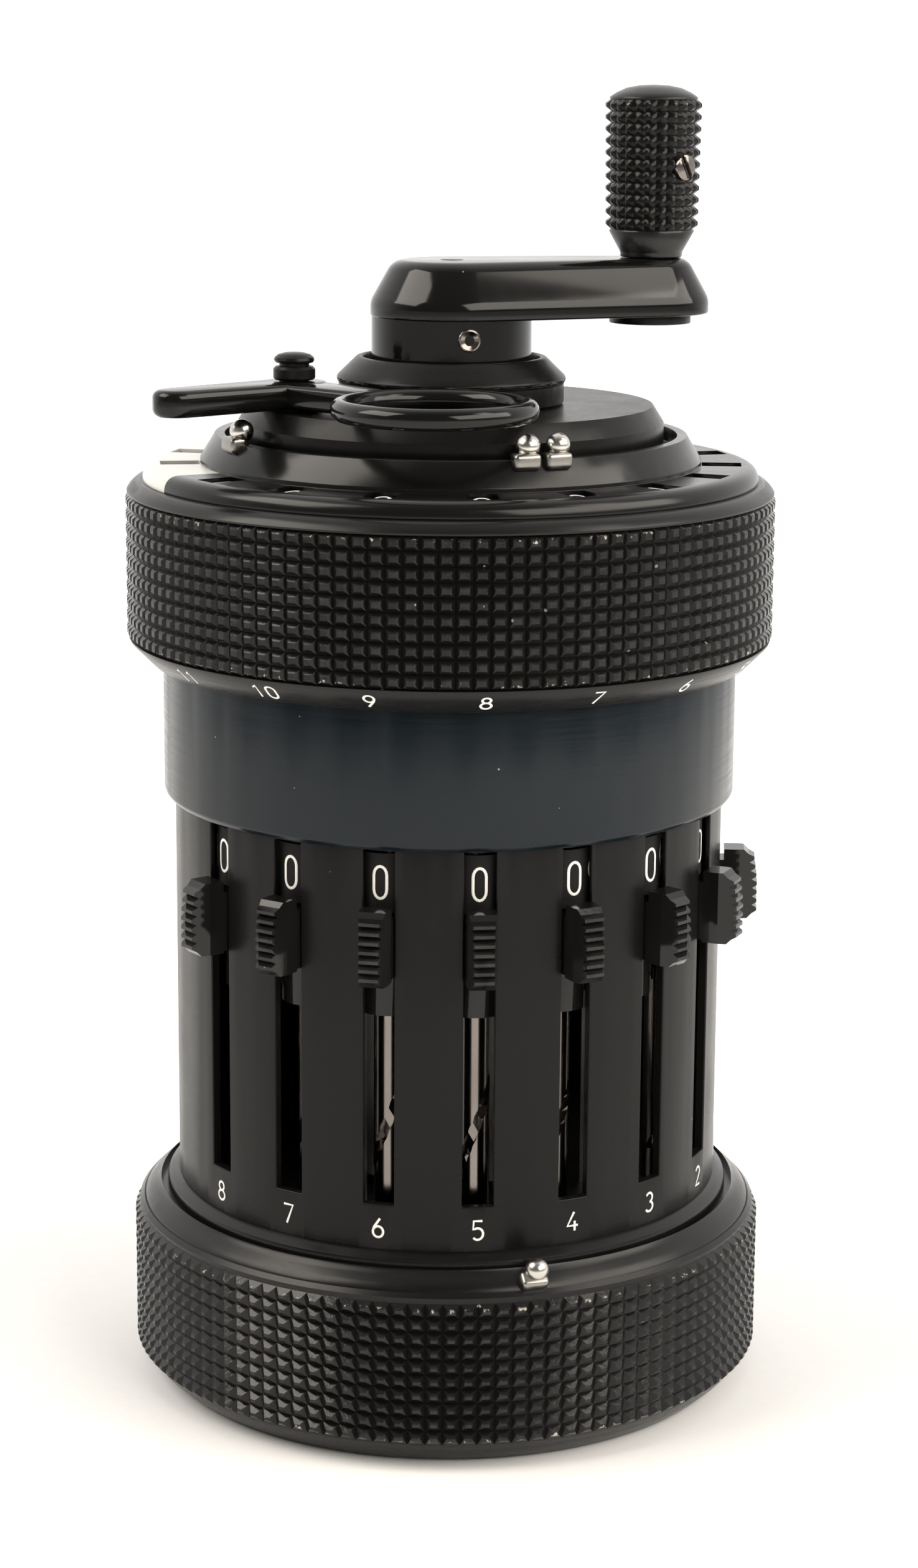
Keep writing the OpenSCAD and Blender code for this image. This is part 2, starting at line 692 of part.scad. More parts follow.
module carriage_cover() {
    edge = [for (t = [0 : 0.125 : 1])
        bend([cover_r, ring_top], [cover_r, cover_top], [window_in + window_l + 0.1, cover_top], t)];
    color("#161617") difference() {
        union() {
            rotate_extrude() polygon(concat(
                [[sleeve_in, cover_under], [pocket_in, cover_under], [pocket_in, lid_under]],
                [[ring_bore, lid_under], [ring_bore, ring_top]], edge,
                [[track_r, cover_top], [track_r, cover_top + wall_foot], [lip_r, lip_top]],
                [[lip_r - lip_w, lip_top], [lip_r - lip_w, track_top], [sleeve_in, track_top]]));
            // rim that centres the cover in the ring
            translate([0, 0, ring_top - 1])
                tube(ring_bore - 0.4, ring_bore, lid_under - ring_top + 1 + lid_t / 4);
            // skirt that carries the inner ends of the dial axles
            translate([0, 0, dial_z - 2]) tube(skirt_in, skirt_out, cover_under - dial_z + 2.2);
            // sleeve on the bearing tube, with the shoulder that the spring presses on
            translate([0, 0, sleeve_z]) tube(sleeve_in, sleeve_out, disc_top - sleeve_z);
            translate([0, 0, sleeve_z]) tube(tube_r + run, sleeve_in + 0.2, shoulder_t);
        }
        for (a = dial_angles) place(a) {
            translate([window_in, -window_w / 2, lid_under - 1]) cube([window_l, window_w, lid_t + 2]);
            translate([skirt_in - skirt_t, 0, dial_z]) rotate([0, 90, 0])
                cylinder(r = pivot_pin_r + run, h = 3 * skirt_t, $fn = 32);
        }
    }
}

// Number dial k on its radial axle, with the bevel gear at the inner end
module dial(a) {
    color("#e9e6dc") place(a) translate([0, 0, dial_z]) rotate([0, 90, 0]) {
        translate([0, 0, skirt_in + 0.3]) cylinder(r = pivot_pin_r, h = bevel_in - skirt_in, $fn = 32);
        translate([0, 0, bevel_in])
            cylinder(r1 = bevel_tip_r, r2 = bevel_r, h = bevel_out - bevel_in, $fn = 48);
        translate([0, 0, bevel_in]) cylinder(r = axle_r, h = dial_out - bevel_in, $fn = 32);
        translate([0, 0, dial_in]) cylinder(r = dial_r, h = dial_w);
        translate([0, 0, dial_in]) cylinder(r = pivot_pin_r, h = ring_bore - dial_in + 0.5, $fn = 32);
    }
}

// Top marker: a saddle over the lip and its sloping wall, with a ball on it
module top_marker(k) {
    leg = lip_r - lip_w / 2;
    back = lip_r - lip_w - seat;
    front = lip_r + 0.15;
    span = marker_span(leg);
    drop = 0.9;
    leg_t = 0.5;
    color("#d8d8d6") place(marker_angle(k)) {
        rotate([0, 0, -span / 2]) rotate_extrude(angle = span) polygon([
            [back - 0.4, track_top + 0.2], [back, track_top + 0.2], [back, lip_top + seat],
            [front, lip_top + seat], [front + drop * wall_slope, lip_top - drop],
            [front + leg_t + drop * wall_slope, lip_top - drop + 0.1],
            [front + leg_t, lip_top + 0.1], [front, lip_top + 0.45], [back - 0.3, lip_top + 0.4]]);
        translate([leg, 0, lip_top + seat + marker_ball_r]) sphere(r = marker_ball_r, $fn = 48);
    }
}

module clearing_disc() {
    color("#1c1c1d") difference() {
        rotate_extrude() polygon([
            [disc_bore, disc_z], [disc_r, disc_z], [disc_r, disc_top - disc_bevel - 0.5],
            [disc_r - disc_bevel, disc_top], [disc_bore, disc_top]]);
        place(pivot_angle) translate([pivot_orbit, 0, disc_top - pivot_foot_d])
            cylinder(r = pivot_foot_r, h = 2 * pivot_foot_d, $fn = 32);
    }
}

module clearing_collar() {
    cone_z = collar_z + collar_neck_h;
    color("#161617") rotate_extrude() polygon([
        [sleeve_in, collar_z], [collar_r - 0.15, collar_z], [collar_r - 0.15, cone_z - 0.4],
        [collar_r, cone_z - 0.3], [collar_r, cone_z], [collar_top_r, collar_top], [sleeve_in, collar_top]]);
}

// Clearing lever: eye on the pivot, arm to the finger ring, tail on the other side
module clearing_lever() {
    pivot = pivot_orbit * [sin(pivot_angle), -cos(pivot_angle)];
    centre = ring_orbit * [sin(ring_angle), -cos(ring_angle)];
    reach = norm(centre - pivot);
    flat_in = 0.13;
    inner = ring_r - ring_w;
    soft = 0.5;
    lean = atan2(centre.y - pivot.y, centre.x - pivot.x);
    color("#0f0f10") translate([pivot.x, pivot.y, lever_z]) rotate([0, 0, lean]) difference() {
        union() {
            translate([0, 0, flat_in]) linear_extrude(lever_t - 2 * flat_in) difference() {
                union() {
                    circle(r = 2.7);
                    polygon([[0, 2], [0, -2.6], [reach - ring_r + 1, -2], [reach - ring_r + 1, 1.6]]);
                    rotate(-tail_angle) polygon([
                        [0, -2.2], [tail_l - 1, -1.8], [tail_l, -0.8],
                        [tail_l, 0.8], [tail_l - 1, 1.8], [0, 2.2]]);
                }
                translate([reach, 0]) circle(r = ring_r - ring_w / 2);
            }
            translate([reach, 0, 0]) rotate_extrude() polygon([
                [inner, soft], [inner + soft, 0], [ring_r - soft, 0], [ring_r, soft],
                [ring_r, lever_t - soft], [ring_r - soft, lever_t],
                [inner + soft, lever_t], [inner, lever_t - soft]]);
        }
        translate([0, 0, -1]) cylinder(r = pivot_r + run, h = lever_t + 2);
    }
}

// Pivot of the clearing lever, with its two-step button
module lever_pivot() {
    over = lever_z + lever_t + seat;
    color("#1a1a1b") place(pivot_angle) translate([pivot_orbit, 0, 0]) rotate_extrude() polygon([
        [0, disc_top - pivot_foot_d], [pivot_foot_r, disc_top - pivot_foot_d],
        [pivot_foot_r, disc_top], [2.2, disc_top], [2.2, lever_z - seat],
        [pivot_r, lever_z - seat], [pivot_r, over], [button_r, over], [button_r, over + 1.1],
        [button_r - 0.2, over + 1.3], [button_r - 0.55, over + 1.3], [button_r - 0.55, over + 1.8],
        [button_r - 0.1, over + 1.9], [button_r, over + 2.1], [button_r - 0.1, over + 2.5],
        [button_r - 0.6, over + 2.8], [0, over + 2.9]]);
}

module crank_arm() {
    mid = arm_z + arm_side_h;
    color("#121213") difference() {
        union() {
            translate([0, 0, hub_z]) cylinder(r = hub_r, h = mid - hub_z);
            hull() {
                translate([0, 0, arm_z]) cylinder(r = hub_r, h = arm_side_h, $fn = 64);
                translate([crank_throw, 0, arm_z]) cylinder(r = arm_end_r, h = arm_side_h, $fn = 64);
            }
            hull() {
                translate([0, 0, mid])
                    cylinder(r1 = hub_r, r2 = hub_r - arm_bevel_w, h = arm_bevel_h, $fn = 64);
                translate([crank_throw, 0, mid])
                    cylinder(r1 = arm_end_r, r2 = arm_end_r - arm_bevel_w, h = arm_bevel_h, $fn = 64);
            }
        }
        translate([0, 0, hub_z - 1]) cylinder(r = shaft_r, h = mid - hub_z + 2);
        translate([crank_throw, 0, arm_z - 1]) cylinder(r = spindle_r, h = arm_side_h + arm_bevel_h + 2);
    }
}

module handle_spindle() {
    head = arm_end_r - 1.45;
    head_z = arm_z - spindle_head_h;
    color("#202021") translate([crank_throw, 0, 0]) {
        translate([0, 0, head_z]) cylinder(r = head, h = spindle_head_h);
        translate([0, 0, head_z]) cylinder(r = spindle_r, h = handle_top - 3 - head_z);
    }
}

module handle_knob() {
    knurl_z = handle_z + handle_cone_h;
    knurl_top = knurl_z + handle_knurl_h;
    foot = handle_r - 0.2;
    color("#161617") translate([crank_throw, 0, 0]) difference() {
        union() {
            rotate_extrude() polygon([
                [0, handle_z], [handle_neck, handle_z], [foot - 0.1, knurl_z - 0.3], [foot - 0.05, knurl_z],
                [foot - 0.6, knurl_z], [foot - 0.6, knurl_top], [handle_r - 0.05, knurl_top],
                [handle_r - 0.3, knurl_top + 0.4], [handle_r - 1.2, handle_top - 0.2], [0, handle_top]]);
            translate([0, 0, knurl_z]) knurl(foot, handle_knurl_h, handle_ridges, handle_r / foot);
        }
        translate([0, 0, handle_z - 1]) cylinder(r = spindle_r + run, h = handle_top - 2.8 - handle_z + 1);
    }
}

module main_shaft() {
    top = arm_z + arm_side_h + 1;
    color("#c4c6c9") translate([0, 0, shaft_low]) cylinder(r = shaft_r, h = top - shaft_low);
}

// Stepped drum: row n has n teeth, and the rows between have nine less n for subtraction
module stepped_drum() {
    tooth_w = 0.7;
    color("#b5b7ba") difference() {
        union() {
            translate([0, 0, drum_low]) cylinder(r = drum_r, h = drum_high - drum_low);
            for (n = [1 : 9]) {
                drum_row(pinion_z - n * row_step, n, tooth_w);
                drum_row(pinion_z - crank_lift - (9 - n) * row_step, n, tooth_w);
            }
        }
        translate([0, 0, drum_low - 1]) cylinder(r = shaft_r, h = drum_high - drum_low + 2);
    }
}

// One row of drum teeth about the height z
module drum_row(z, teeth, w) {
    for (i = [1 : teeth])
        place(drum_home + (i - 5) * tooth_pitch) translate([drum_r - 0.5, -w / 2, z - row_h / 2])
            cube([drum_tip - drum_r + 0.5, w, row_h]);
}

module tens_bell() {
    color("#a9abae") difference() {
        union() {
            translate([0, 0, bell_z]) cylinder(r = bell_r - 1.2, h = bell_h);
            translate([0, 0, bell_z + bell_h / 2 - 0.5]) cylinder(r = bell_r, h = 1);
        }
        translate([0, 0, bell_z - 1]) cylinder(r = shaft_r + run, h = bell_h + 2);
        for (a = [0 : 60 : 300])
            place(a) translate([(shaft_r + bell_r) / 2, 0, bell_z - 1])
                cylinder(r = 1.4, h = bell_h + 2, $fn = 32);
    }
}

base_ring();
bottom_plate();
body_housing();
collar_band();
lower_bearing_plate();
upper_bearing_plate();
bearing_tube();
transmission_shafts();
base_marker();
reversing_lever();
for (k = [1 : places]) {
    slider(k);
    setting_shaft(k);
}
spring_seat();
carriage_spring();
carriage_ring();
carriage_cover();
for (k = [1 : 3])
    top_marker(k);
clearing_disc();
clearing_collar();
clearing_lever();
lever_pivot();
crank_arm();
handle_spindle();
handle_knob();
main_shaft();
stepped_drum();
tens_bell();
for (k = [1 : result_places])
    dial(result_angle(k));
for (k = [1 : counter_places])
    dial(counter_angle(k));
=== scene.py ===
import json
import math
from functools import cache, partial, wraps

import bmesh
import bpy
from bpy.props import FloatProperty, FloatVectorProperty, IntProperty, PointerProperty
from mathutils import Matrix, Vector


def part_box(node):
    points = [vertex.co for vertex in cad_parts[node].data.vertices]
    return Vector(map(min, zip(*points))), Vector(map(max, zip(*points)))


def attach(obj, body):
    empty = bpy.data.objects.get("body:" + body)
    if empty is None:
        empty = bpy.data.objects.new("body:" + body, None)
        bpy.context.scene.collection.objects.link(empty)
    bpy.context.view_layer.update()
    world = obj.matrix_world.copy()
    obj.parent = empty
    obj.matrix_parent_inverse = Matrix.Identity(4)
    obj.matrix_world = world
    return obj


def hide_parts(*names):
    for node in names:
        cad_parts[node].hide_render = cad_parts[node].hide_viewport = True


bl_info = {
    "name": "Mechanical pocket calculator",
    "version": (1, 0, 0),
    "blender": (4, 5, 0),
    "location": "3D View > Sidebar > Calculator",
    "description": "Knurled grips, numerals, fasteners, finishes and studio of a stepped-drum calculator",
    "category": "Object",
}

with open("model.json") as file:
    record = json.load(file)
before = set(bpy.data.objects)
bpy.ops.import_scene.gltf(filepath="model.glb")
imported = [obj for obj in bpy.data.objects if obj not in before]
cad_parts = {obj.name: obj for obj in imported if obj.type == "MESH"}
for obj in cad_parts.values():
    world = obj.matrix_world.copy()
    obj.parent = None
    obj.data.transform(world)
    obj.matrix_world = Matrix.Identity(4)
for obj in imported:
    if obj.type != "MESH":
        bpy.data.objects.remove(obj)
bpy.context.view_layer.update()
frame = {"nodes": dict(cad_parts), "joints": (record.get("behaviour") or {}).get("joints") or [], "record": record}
JOINTS = {joint["name"]: joint for joint in frame["joints"]}
SLOTS = {part["node"]: part["material_slot"] for part in frame["record"]["subparts"]}
MM = 0.001
TOUCH = 1e-6
PLACES = 8
RESULT_PLACES = 11
COUNTER_PLACES = 6
PLACE_PITCH = 20
DIGITS = 10
STEP = math.tau / DIGITS
DUST = (0.3, 0.28, 0.25)
# Pale specks on the grips' end rows: partly chipping of the paint, partly painted highlights.
CHIP_AND_HIGHLIGHT = (0.5, 0.47, 0.42)

# Kinds of property that the groups share
Length = partial(FloatProperty, unit="LENGTH", precision=5)
Share = partial(FloatProperty, subtype="FACTOR")
Power = partial(FloatProperty, unit="POWER")
Paint = partial(FloatVectorProperty, subtype="COLOR", min=0, max=1)


class GripSizes(bpy.types.PropertyGroup):
    """Sizes of the three knurled grips."""

    base_columns: IntProperty(name="Base columns", description="Pyramids round the base", default=118, min=24)
    carriage_columns: IntProperty(
        name="Carriage columns", description="Square lands round the carriage", default=123, min=24)
    base_rows: IntProperty(name="Base rows", description="Rows of pyramids on the base", default=10, min=2)
    carriage_rows: IntProperty(
        name="Carriage rows", description="Rows of square lands on the carriage", default=10, min=2)
    handle_columns: IntProperty(
        name="Handle columns", description="Pyramids round the handle", default=24, min=8)
    handle_rows: IntProperty(
        name="Handle rows", description="Rows of pyramids on the handle", default=11, min=2)
    depth: Length(name="Depth", description="Height of a pyramid", default=0.5 * MM)
    point: Share(
        name="Pointedness", description="How far a pyramid narrows, from 0 to 1",
        default=0.78, min=0.1, max=0.95)
    land_groove: Share(
        name="Land groove", description="Share of a carriage cell that its groove takes",
        default=0.4, min=0.1, max=0.9)
    land_edge: Share(
        name="Land edge", description="Share of a carriage cell that its worn edge takes",
        default=0.24, min=0.05, max=0.5)


class NumeralSizes(bpy.types.PropertyGroup):
    """Heights and strokes of the painted numerals."""

    slot_height: Length(
        name="Slot height", description="Height of the numbers under the slots", default=1.75 * MM)
    slot_stroke: Length(
        name="Slot stroke", description="Stroke of the numbers under the slots", default=0.19 * MM)
    place_height: Length(
        name="Place height", description="Height of the place numbers on the carriage", default=1.65 * MM)
    place_stroke: Length(
        name="Place stroke", description="Stroke of the place numbers on the carriage", default=0.2 * MM)
    setting_height: Length(
        name="Setting height", description="Height of the numerals on the setting shafts", default=2.8 * MM)
    setting_stroke: Length(
        name="Setting stroke", description="Stroke of the numerals on the setting shafts", default=0.225 * MM)
    setting_width: Share(
        name="Setting width", description="Width of the setting numerals as a share of the usual",
        default=0.72, min=0.5, max=1)
    dial_height: Length(
        name="Dial height", description="Height of the numerals on the number dials", default=2.2 * MM)
    dial_stroke: Length(
        name="Dial stroke", description="Stroke of the numerals on the number dials", default=0.3 * MM)


class FinishColours(bpy.types.PropertyGroup):
    """Colours of the finishes."""

    enamel: Paint(
        name="Satin enamel", description="Black enamel of the casing", default=(0.0052, 0.0051, 0.005))
    gloss: Paint(
        name="Gloss enamel", description="Black enamel of the crank, cover and lever",
        default=(0.0035, 0.0035, 0.0034))
    slate: Paint(
        name="Slate band", description="Blue-grey enamel of the band", default=(0.0045, 0.0085, 0.0122))
    nickel: Paint(name="Nickel", description="Ball-headed markers", default=(0.72, 0.69, 0.64))
    shaft: Paint(
        name="Setting shafts", description="Dull metal of the setting shafts", default=(0.24, 0.215, 0.2))
    steel: Paint(name="Steel", description="Shafts and plates", default=(0.56, 0.55, 0.53))
    alloy: Paint(name="Light alloy", description="Stepped drum and bell", default=(0.68, 0.69, 0.7))
    numeral: Paint(name="Numerals", description="Paint of the numerals", default=(0.82, 0.8, 0.72))
    counter: Paint(
        name="Counter field", description="Pale field round the counter's windows",
        default=(0.78, 0.77, 0.73))


class StageSizes(bpy.types.PropertyGroup):
    """Camera, floor and lights."""

    eye: FloatVectorProperty(
        name="Camera", description="Place of the camera", subtype="TRANSLATION", size=3,
        default=(-77.163 * MM, -263.775 * MM, 111.3 * MM))
    lens: FloatProperty(
        name="Lens", description="Focal length for a 36 mm tall image", default=77.5, unit="CAMERA")
    floor: FloatProperty(name="Floor", description="Width of the floor", default=60.0, unit="LENGTH")
    left_power: Power(name="Left power", description="Power of the left softbox", default=2.3)
    right_power: Power(name="Right power", description="Power of the right softbox", default=3.8)
    high_power: Power(
        name="High power", description="Power of the small softbox that the crank mirrors", default=0.24)
    surround: FloatProperty(name="Surround", description="Brightness of the white surround", default=1.2)


def facing(degrees):
    """Outward direction at an angle counted from the front towards +X."""
    angle = math.radians(degrees)
    return Vector((math.sin(angle), -math.cos(angle), 0))


def slider_angle(k):
    """Angle of setting place k."""
    return ((PLACES + 1) / 2 - k) * PLACE_PITCH


def result_angle(k):
    """Angle of result place k, with the carriage three places on."""
    return slider_angle(k) + 3 * PLACE_PITCH


def counter_angle(k):
    """Angle of counter place k, a place and a half after the result places."""
    return result_angle(RESULT_PLACES) - 1.5 * PLACE_PITCH - (k - 1) * PLACE_PITCH


def register_places():
    """Dial, number and angle of every result and counter place."""
    places = [(f"result_dial_{k}", k, result_angle(k)) for k in range(1, RESULT_PLACES + 1)]
    return places + [(f"counter_dial_{k}", k, counter_angle(k)) for k in range(1, COUNTER_PLACES + 1)]


# Modelling

def points(radius, height, *steps):
    """Profile points (radius, height), by steps in millimetres from a radius and a height."""
    return [(radius + across * MM, height + up * MM) for across, up in steps]


def only(kind, geom):
    """The items of one kind in what a bmesh operator gives back."""
    return [item for item in geom if isinstance(item, kind)]


def merge(bm):
    """Merge doubles and turn the faces outwards."""
    bmesh.ops.remove_doubles(bm, verts=bm.verts[:], dist=TOUCH)
    bmesh.ops.recalc_face_normals(bm, faces=bm.faces[:])


def round_edges(bm, edges, offset, segments):
    """Round edges off."""
    bmesh.ops.bevel(bm, geom=edges, offset=offset, offset_type="OFFSET", segments=segments, profile=0.5,
                    affect="EDGES", material=-1)


def as_mesh(name, bm):
    """Turn a bmesh into a mesh."""
    mesh = bpy.data.meshes.new(name)
    bm.to_mesh(mesh)
    bm.free()
    return mesh


def put(name, data):
    """Put a new object into the scene."""
    thing = bpy.data.objects.new(name, data)
    bpy.context.scene.collection.objects.link(thing)
    return thing


def take_in(bm, mesh):
    """Add a mesh to a bmesh, remove it, and give the new vertices."""
    start = len(bm.verts)
    bm.from_mesh(mesh)
    bpy.data.meshes.remove(mesh)
    bm.verts.ensure_lookup_table()
    return bm.verts[start:]


def join(bm, part, matrix):
    """Move one bmesh into place and add it to another."""
    bmesh.ops.transform(part, matrix=matrix, verts=part.verts[:])
    take_in(bm, as_mesh("joined", part))


def lathe(bm, profile, steps, closed=False):
    """Spin a profile of (radius, height) points once about Z."""
    verts = [bm.verts.new((radius, 0, height)) for radius, height in profile]
    edges = [bm.edges.new(pair) for pair in zip(verts, verts[1:])]
    if closed:
        edges.append(bm.edges.new((verts[-1], verts[0])))
    bmesh.ops.spin(bm, geom=verts + edges, cent=(0, 0, 0), axis=(0, 0, 1), angle=math.tau,
                   steps=steps, use_merge=True)
    merge(bm)


def turned(bm, profile, steps, matrix):
    """Spin a small profile about its own Z and move it into place."""
    part = bmesh.new()
    lathe(part, profile, steps)
    join(bm, part, matrix)


def prism(bm, outline, low, high):
    """Upright prism on an outline between two heights; gives its top faces."""
    sole = bm.faces.new([bm.verts.new((x, y, low)) for x, y in outline])
    grown = bmesh.ops.extrude_face_region(bm, geom=[sole])["geom"]
    bmesh.ops.translate(bm, vec=(0, 0, high - low), verts=only(bmesh.types.BMVert, grown))
    bmesh.ops.recalc_face_normals(bm, faces=bm.faces[:])
    return only(bmesh.types.BMFace, grown)


def slab(bm, outline, low, high, rounding, matrix):
    """Flat bar with rounded edges between two heights, from an outline in millimetres."""
    bar = bmesh.new()
    prism(bar, points(0, 0, *outline), low, high)
    rims = [edge for edge in bar.edges if abs(edge.verts[0].co.z - edge.verts[1].co.z) < TOUCH / 10]
    round_edges(bar, rims, rounding * MM, 4)
    join(bm, bar, matrix)


def slotted_screw(bm, radius, height, slot, matrix):
    """Slotted screw head on the local XY plane, its slot along X, moved into place."""
    head = bmesh.new()
    bmesh.ops.create_circle(head, cap_ends=True, segments=32, radius=radius)
    for side in (-1, 1):
        bmesh.ops.bisect_plane(head, geom=head.verts[:] + head.edges[:] + head.faces[:],
                               plane_co=(0, side * slot / 2, 0), plane_no=(0, 1, 0))
    lands = [face for face in head.faces if abs(face.calc_center_median().y) > slot / 2]
    rim = [edge for edge in head.edges if edge.is_boundary]
    raised = bmesh.ops.extrude_face_region(head, geom=lands)["geom"]
    bmesh.ops.translate(head, vec=(0, 0, height * 0.55), verts=only(bmesh.types.BMVert, raised))
    bmesh.ops.delete(head, geom=lands, context="FACES_ONLY")
    skirt = bmesh.ops.extrude_edge_only(head, edges=[edge for edge in rim if edge.is_valid])["geom"]
    bmesh.ops.translate(head, vec=(0, 0, -height), verts=only(bmesh.types.BMVert, skirt))
    bmesh.ops.remove_doubles(head, verts=head.verts[:], dist=TOUCH)
    crest = [edge for edge in head.edges if all(vert.co.z > height * 0.5 for vert in edge.verts)]
    round_edges(head, crest, radius * 0.14, 2)
    join(bm, head, matrix)


def rows_between(low, high, count):
    """Points of a knurl's root line from low to high, each (radius, height)."""
    return [tuple(Vector(low).lerp(Vector(high), i / count)) for i in range(count + 1)]


def raise_cells(bm, root, columns, steps):
    """Inset each cell of a spun root line and push it out, by steps of (share narrowed, height).

    The cells keep the first finish of the piece, and the plain faces get the second."""
    low, high = root[0], root[-1]
    slope = (high[0] - low[0]) / (high[1] - low[1])
    cells = []
    for face in bm.faces:
        spots = [(math.hypot(v.co.x, v.co.y), v.co.z) for v in face.verts]
        if all(abs(r - low[0] - slope * (z - low[1])) < 10 * TOUCH
               and low[1] - TOUCH < z < high[1] + TOUCH for r, z in spots):
            cells.append(face)
    wanted = columns * (len(root) - 1)
    if len(cells) != wanted:
        raise RuntimeError(f"the knurl has {len(cells)} cells, not {wanted}")
    for face in bm.faces:
        face.material_index = 1
    for face in cells:
        face.material_index = 0
    narrow = min((high[1] - low[1]) / (len(root) - 1), math.tau * low[0] / columns)
    for share, height in steps:
        bmesh.ops.inset_individual(bm, faces=cells, thickness=narrow * share / 2, depth=height,
                                   use_even_offset=True)


def seat_on(point, outward, up=(0, 0, 1)):
    """Matrix that lays local +Z along outward at a point, local +Y as near up as it goes."""
    normal = Vector(outward).normalized()
    right = Vector(up).cross(normal).normalized()
    turn = Matrix((right, normal.cross(right), normal)).transposed().to_4x4()
    return Matrix.Translation(point) @ turn


def carriage_bevel():
    """Radius of the carriage ring's lip, and the two ends of its numbered bevel."""
    low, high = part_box("carriage_ring")
    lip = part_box("collar_band")[1].x + 0.4 * MM
    return lip, points(lip, low.z, (0.6, 0.06)) + points(high.x, low.z, (-0.22, 1.75))


def new_piece(name, bm, paints, body, replaced=None, smooth=30):
    """Make a piece of a bmesh, with its finish or finishes, and let it ride on a CAD body."""
    bmesh.ops.recalc_face_normals(bm, faces=bm.faces[:])
    mesh = as_mesh(name, bm)
    mesh.shade_smooth()
    mesh.set_sharp_from_angle(angle=math.radians(smooth))
    for paint in paints if isinstance(paints, tuple) else (paints,):
        mesh.materials.append(paint)
    piece = put(name, mesh)
    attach(piece, body)
    if replaced:
        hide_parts(replaced)


# Numerals

def arc(x, y, rx, ry, start, end, count=12):
    """Points of an elliptic arc between two angles in degrees."""
    angles = [math.radians(start + (end - start) * i / count) for i in range(count + 1)]
    return [(x + rx * math.cos(a), y + ry * math.sin(a)) for a in angles]


def half_turn(strokes):
    """Strokes turned half round, as a 6 is for a 9."""
    return [([(-x, 1 - y) for x, y in line], closed) for line, closed in strokes]


# Each digit is a list of strokes (points, closed), one unit tall and centred on x = 0.
SIX = [(arc(0, 0.29, 0.27, 0.29, 0, 345, 18), True), ([(-0.26, 0.36), (-0.2, 0.55), (0.1, 1)], False)]
STROKES = {
    "0": [(arc(0, 0.72, 0.28, 0.28, 0, 180, 8) + arc(0, 0.28, 0.28, 0.28, 180, 360, 8), True)],
    "1": [([(-0.16, 0.8), (0.04, 1), (0.04, 0)], False)],
    "2": [(arc(0, 0.72, 0.28, 0.28, 160, -32) + [(-0.28, 0), (0.28, 0)], False)],
    "3": [(arc(0, 0.75, 0.24, 0.25, 150, -80), False), (arc(0, 0.26, 0.28, 0.26, 80, -150), False)],
    "4": [([(0.08, 1), (-0.3, 0.28), (0.3, 0.28)], False), ([(0.12, 0.52), (0.12, 0)], False)],
    "5": [([(0.24, 1), (-0.2, 1), (-0.23, 0.56)] + arc(0, 0.31, 0.28, 0.31, 118, -140), False)],
    "6": SIX,
    "7": [([(-0.28, 1), (0.28, 1), (-0.1, 0)], False)],
    "8": [(arc(0, 0.75, 0.22, 0.23, 0, 340, 16), True), (arc(0, 0.26, 0.28, 0.26, 0, 345, 18), True)],
    "9": half_turn(SIX),
}


def digit_mesh(digit, height, stroke, width):
    """A digit as a round stroke, standing on the local X axis, its width as a share of the usual."""
    curve = bpy.data.curves.new("digit", "CURVE")
    curve.dimensions = "3D"
    curve.bevel_depth = stroke / 2
    curve.bevel_resolution = 1
    curve.use_fill_caps = True
    reach = height - stroke
    for line, closed in STROKES[digit]:
        spline = curve.splines.new("POLY")
        spline.points.add(len(line) - 1)
        for point, (x, y) in zip(spline.points, line):
            point.co = (x * reach * width, y * reach + stroke / 2, 0, 1)
        spline.use_cyclic_u = closed
    holder = bpy.data.objects.new("digit", curve)
    mesh = bpy.data.meshes.new_from_object(holder)
    bpy.data.objects.remove(holder)
    bpy.data.curves.remove(curve)
    return mesh


def paint_numbers(name, body, numbers, height, stroke, width=1.0):
    """Piece of numbers (number, wrap), each pressed flat and wrapped on a surface by wrap(x, y, out)."""
    advance, flatness, lift = height * 0.78, 0.2, 0.01 * MM
    bm = bmesh.new()
    for number, wrap in numbers:
        text = str(number)
        for i, digit in enumerate(text):
            shift = (i - (len(text) - 1) / 2) * advance
            for vert in take_in(bm, digit_mesh(digit, height, stroke, width)):
                vert.co = wrap(vert.co.x + shift, vert.co.y, vert.co.z * flatness + lift)
    new_piece(name, bm, finish("numeral_paint"), body)


def on_cylinder(axis, radius, angle, foot):
    """Wrap for an upright cylinder about axis, with the number facing an angle in radians."""
    def wrap(x, y, out):
        a = angle + x / radius
        r = radius + out
        return Vector((axis.x + r * math.sin(a), axis.y - r * math.cos(a), foot + y))
    return wrap


def on_cone(radius, foot, lean, angle):
    """Wrap for a cone that widens upwards at lean from the horizontal."""
    def wrap(x, y, out):
        r = radius + y * math.cos(lean) + out * math.sin(lean)
        a = angle + x / radius
        return Vector((r * math.sin(a), -r * math.cos(a), foot + y * math.sin(lean) - out * math.cos(lean)))
    return wrap


def on_dial(axis, hub, top, radius, turn):
    """Wrap for a dial on a radial axis: the number's top is towards the machine's middle."""
    side = Vector((-axis.y, axis.x, 0))
    up = Vector((0, 0, 1))

    def wrap(x, y, out):
        b = turn + x / radius
        return hub + axis * (top - y) + (radius + out) * (math.sin(b) * side + math.cos(b) * up)
    return wrap


# Shader nodes

def add_node(tree, kind, sockets=None, **settings):
    """A new shader node with settings by attribute; sockets gives inputs a value or a socket to link."""
    node = tree.nodes.new("ShaderNode" + kind)
    for key, value in settings.items():
        setattr(node, key, value)
    for key, value in (sockets or {}).items():
        if isinstance(value, bpy.types.NodeSocket):
            tree.links.new(value, node.inputs[key])
        else:
            node.inputs[key].default_value = value
    return node


def maths(tree, operation, *terms):
    """Result of a Math node."""
    return add_node(tree, "Math", dict(enumerate(terms)), operation=operation).outputs[0]


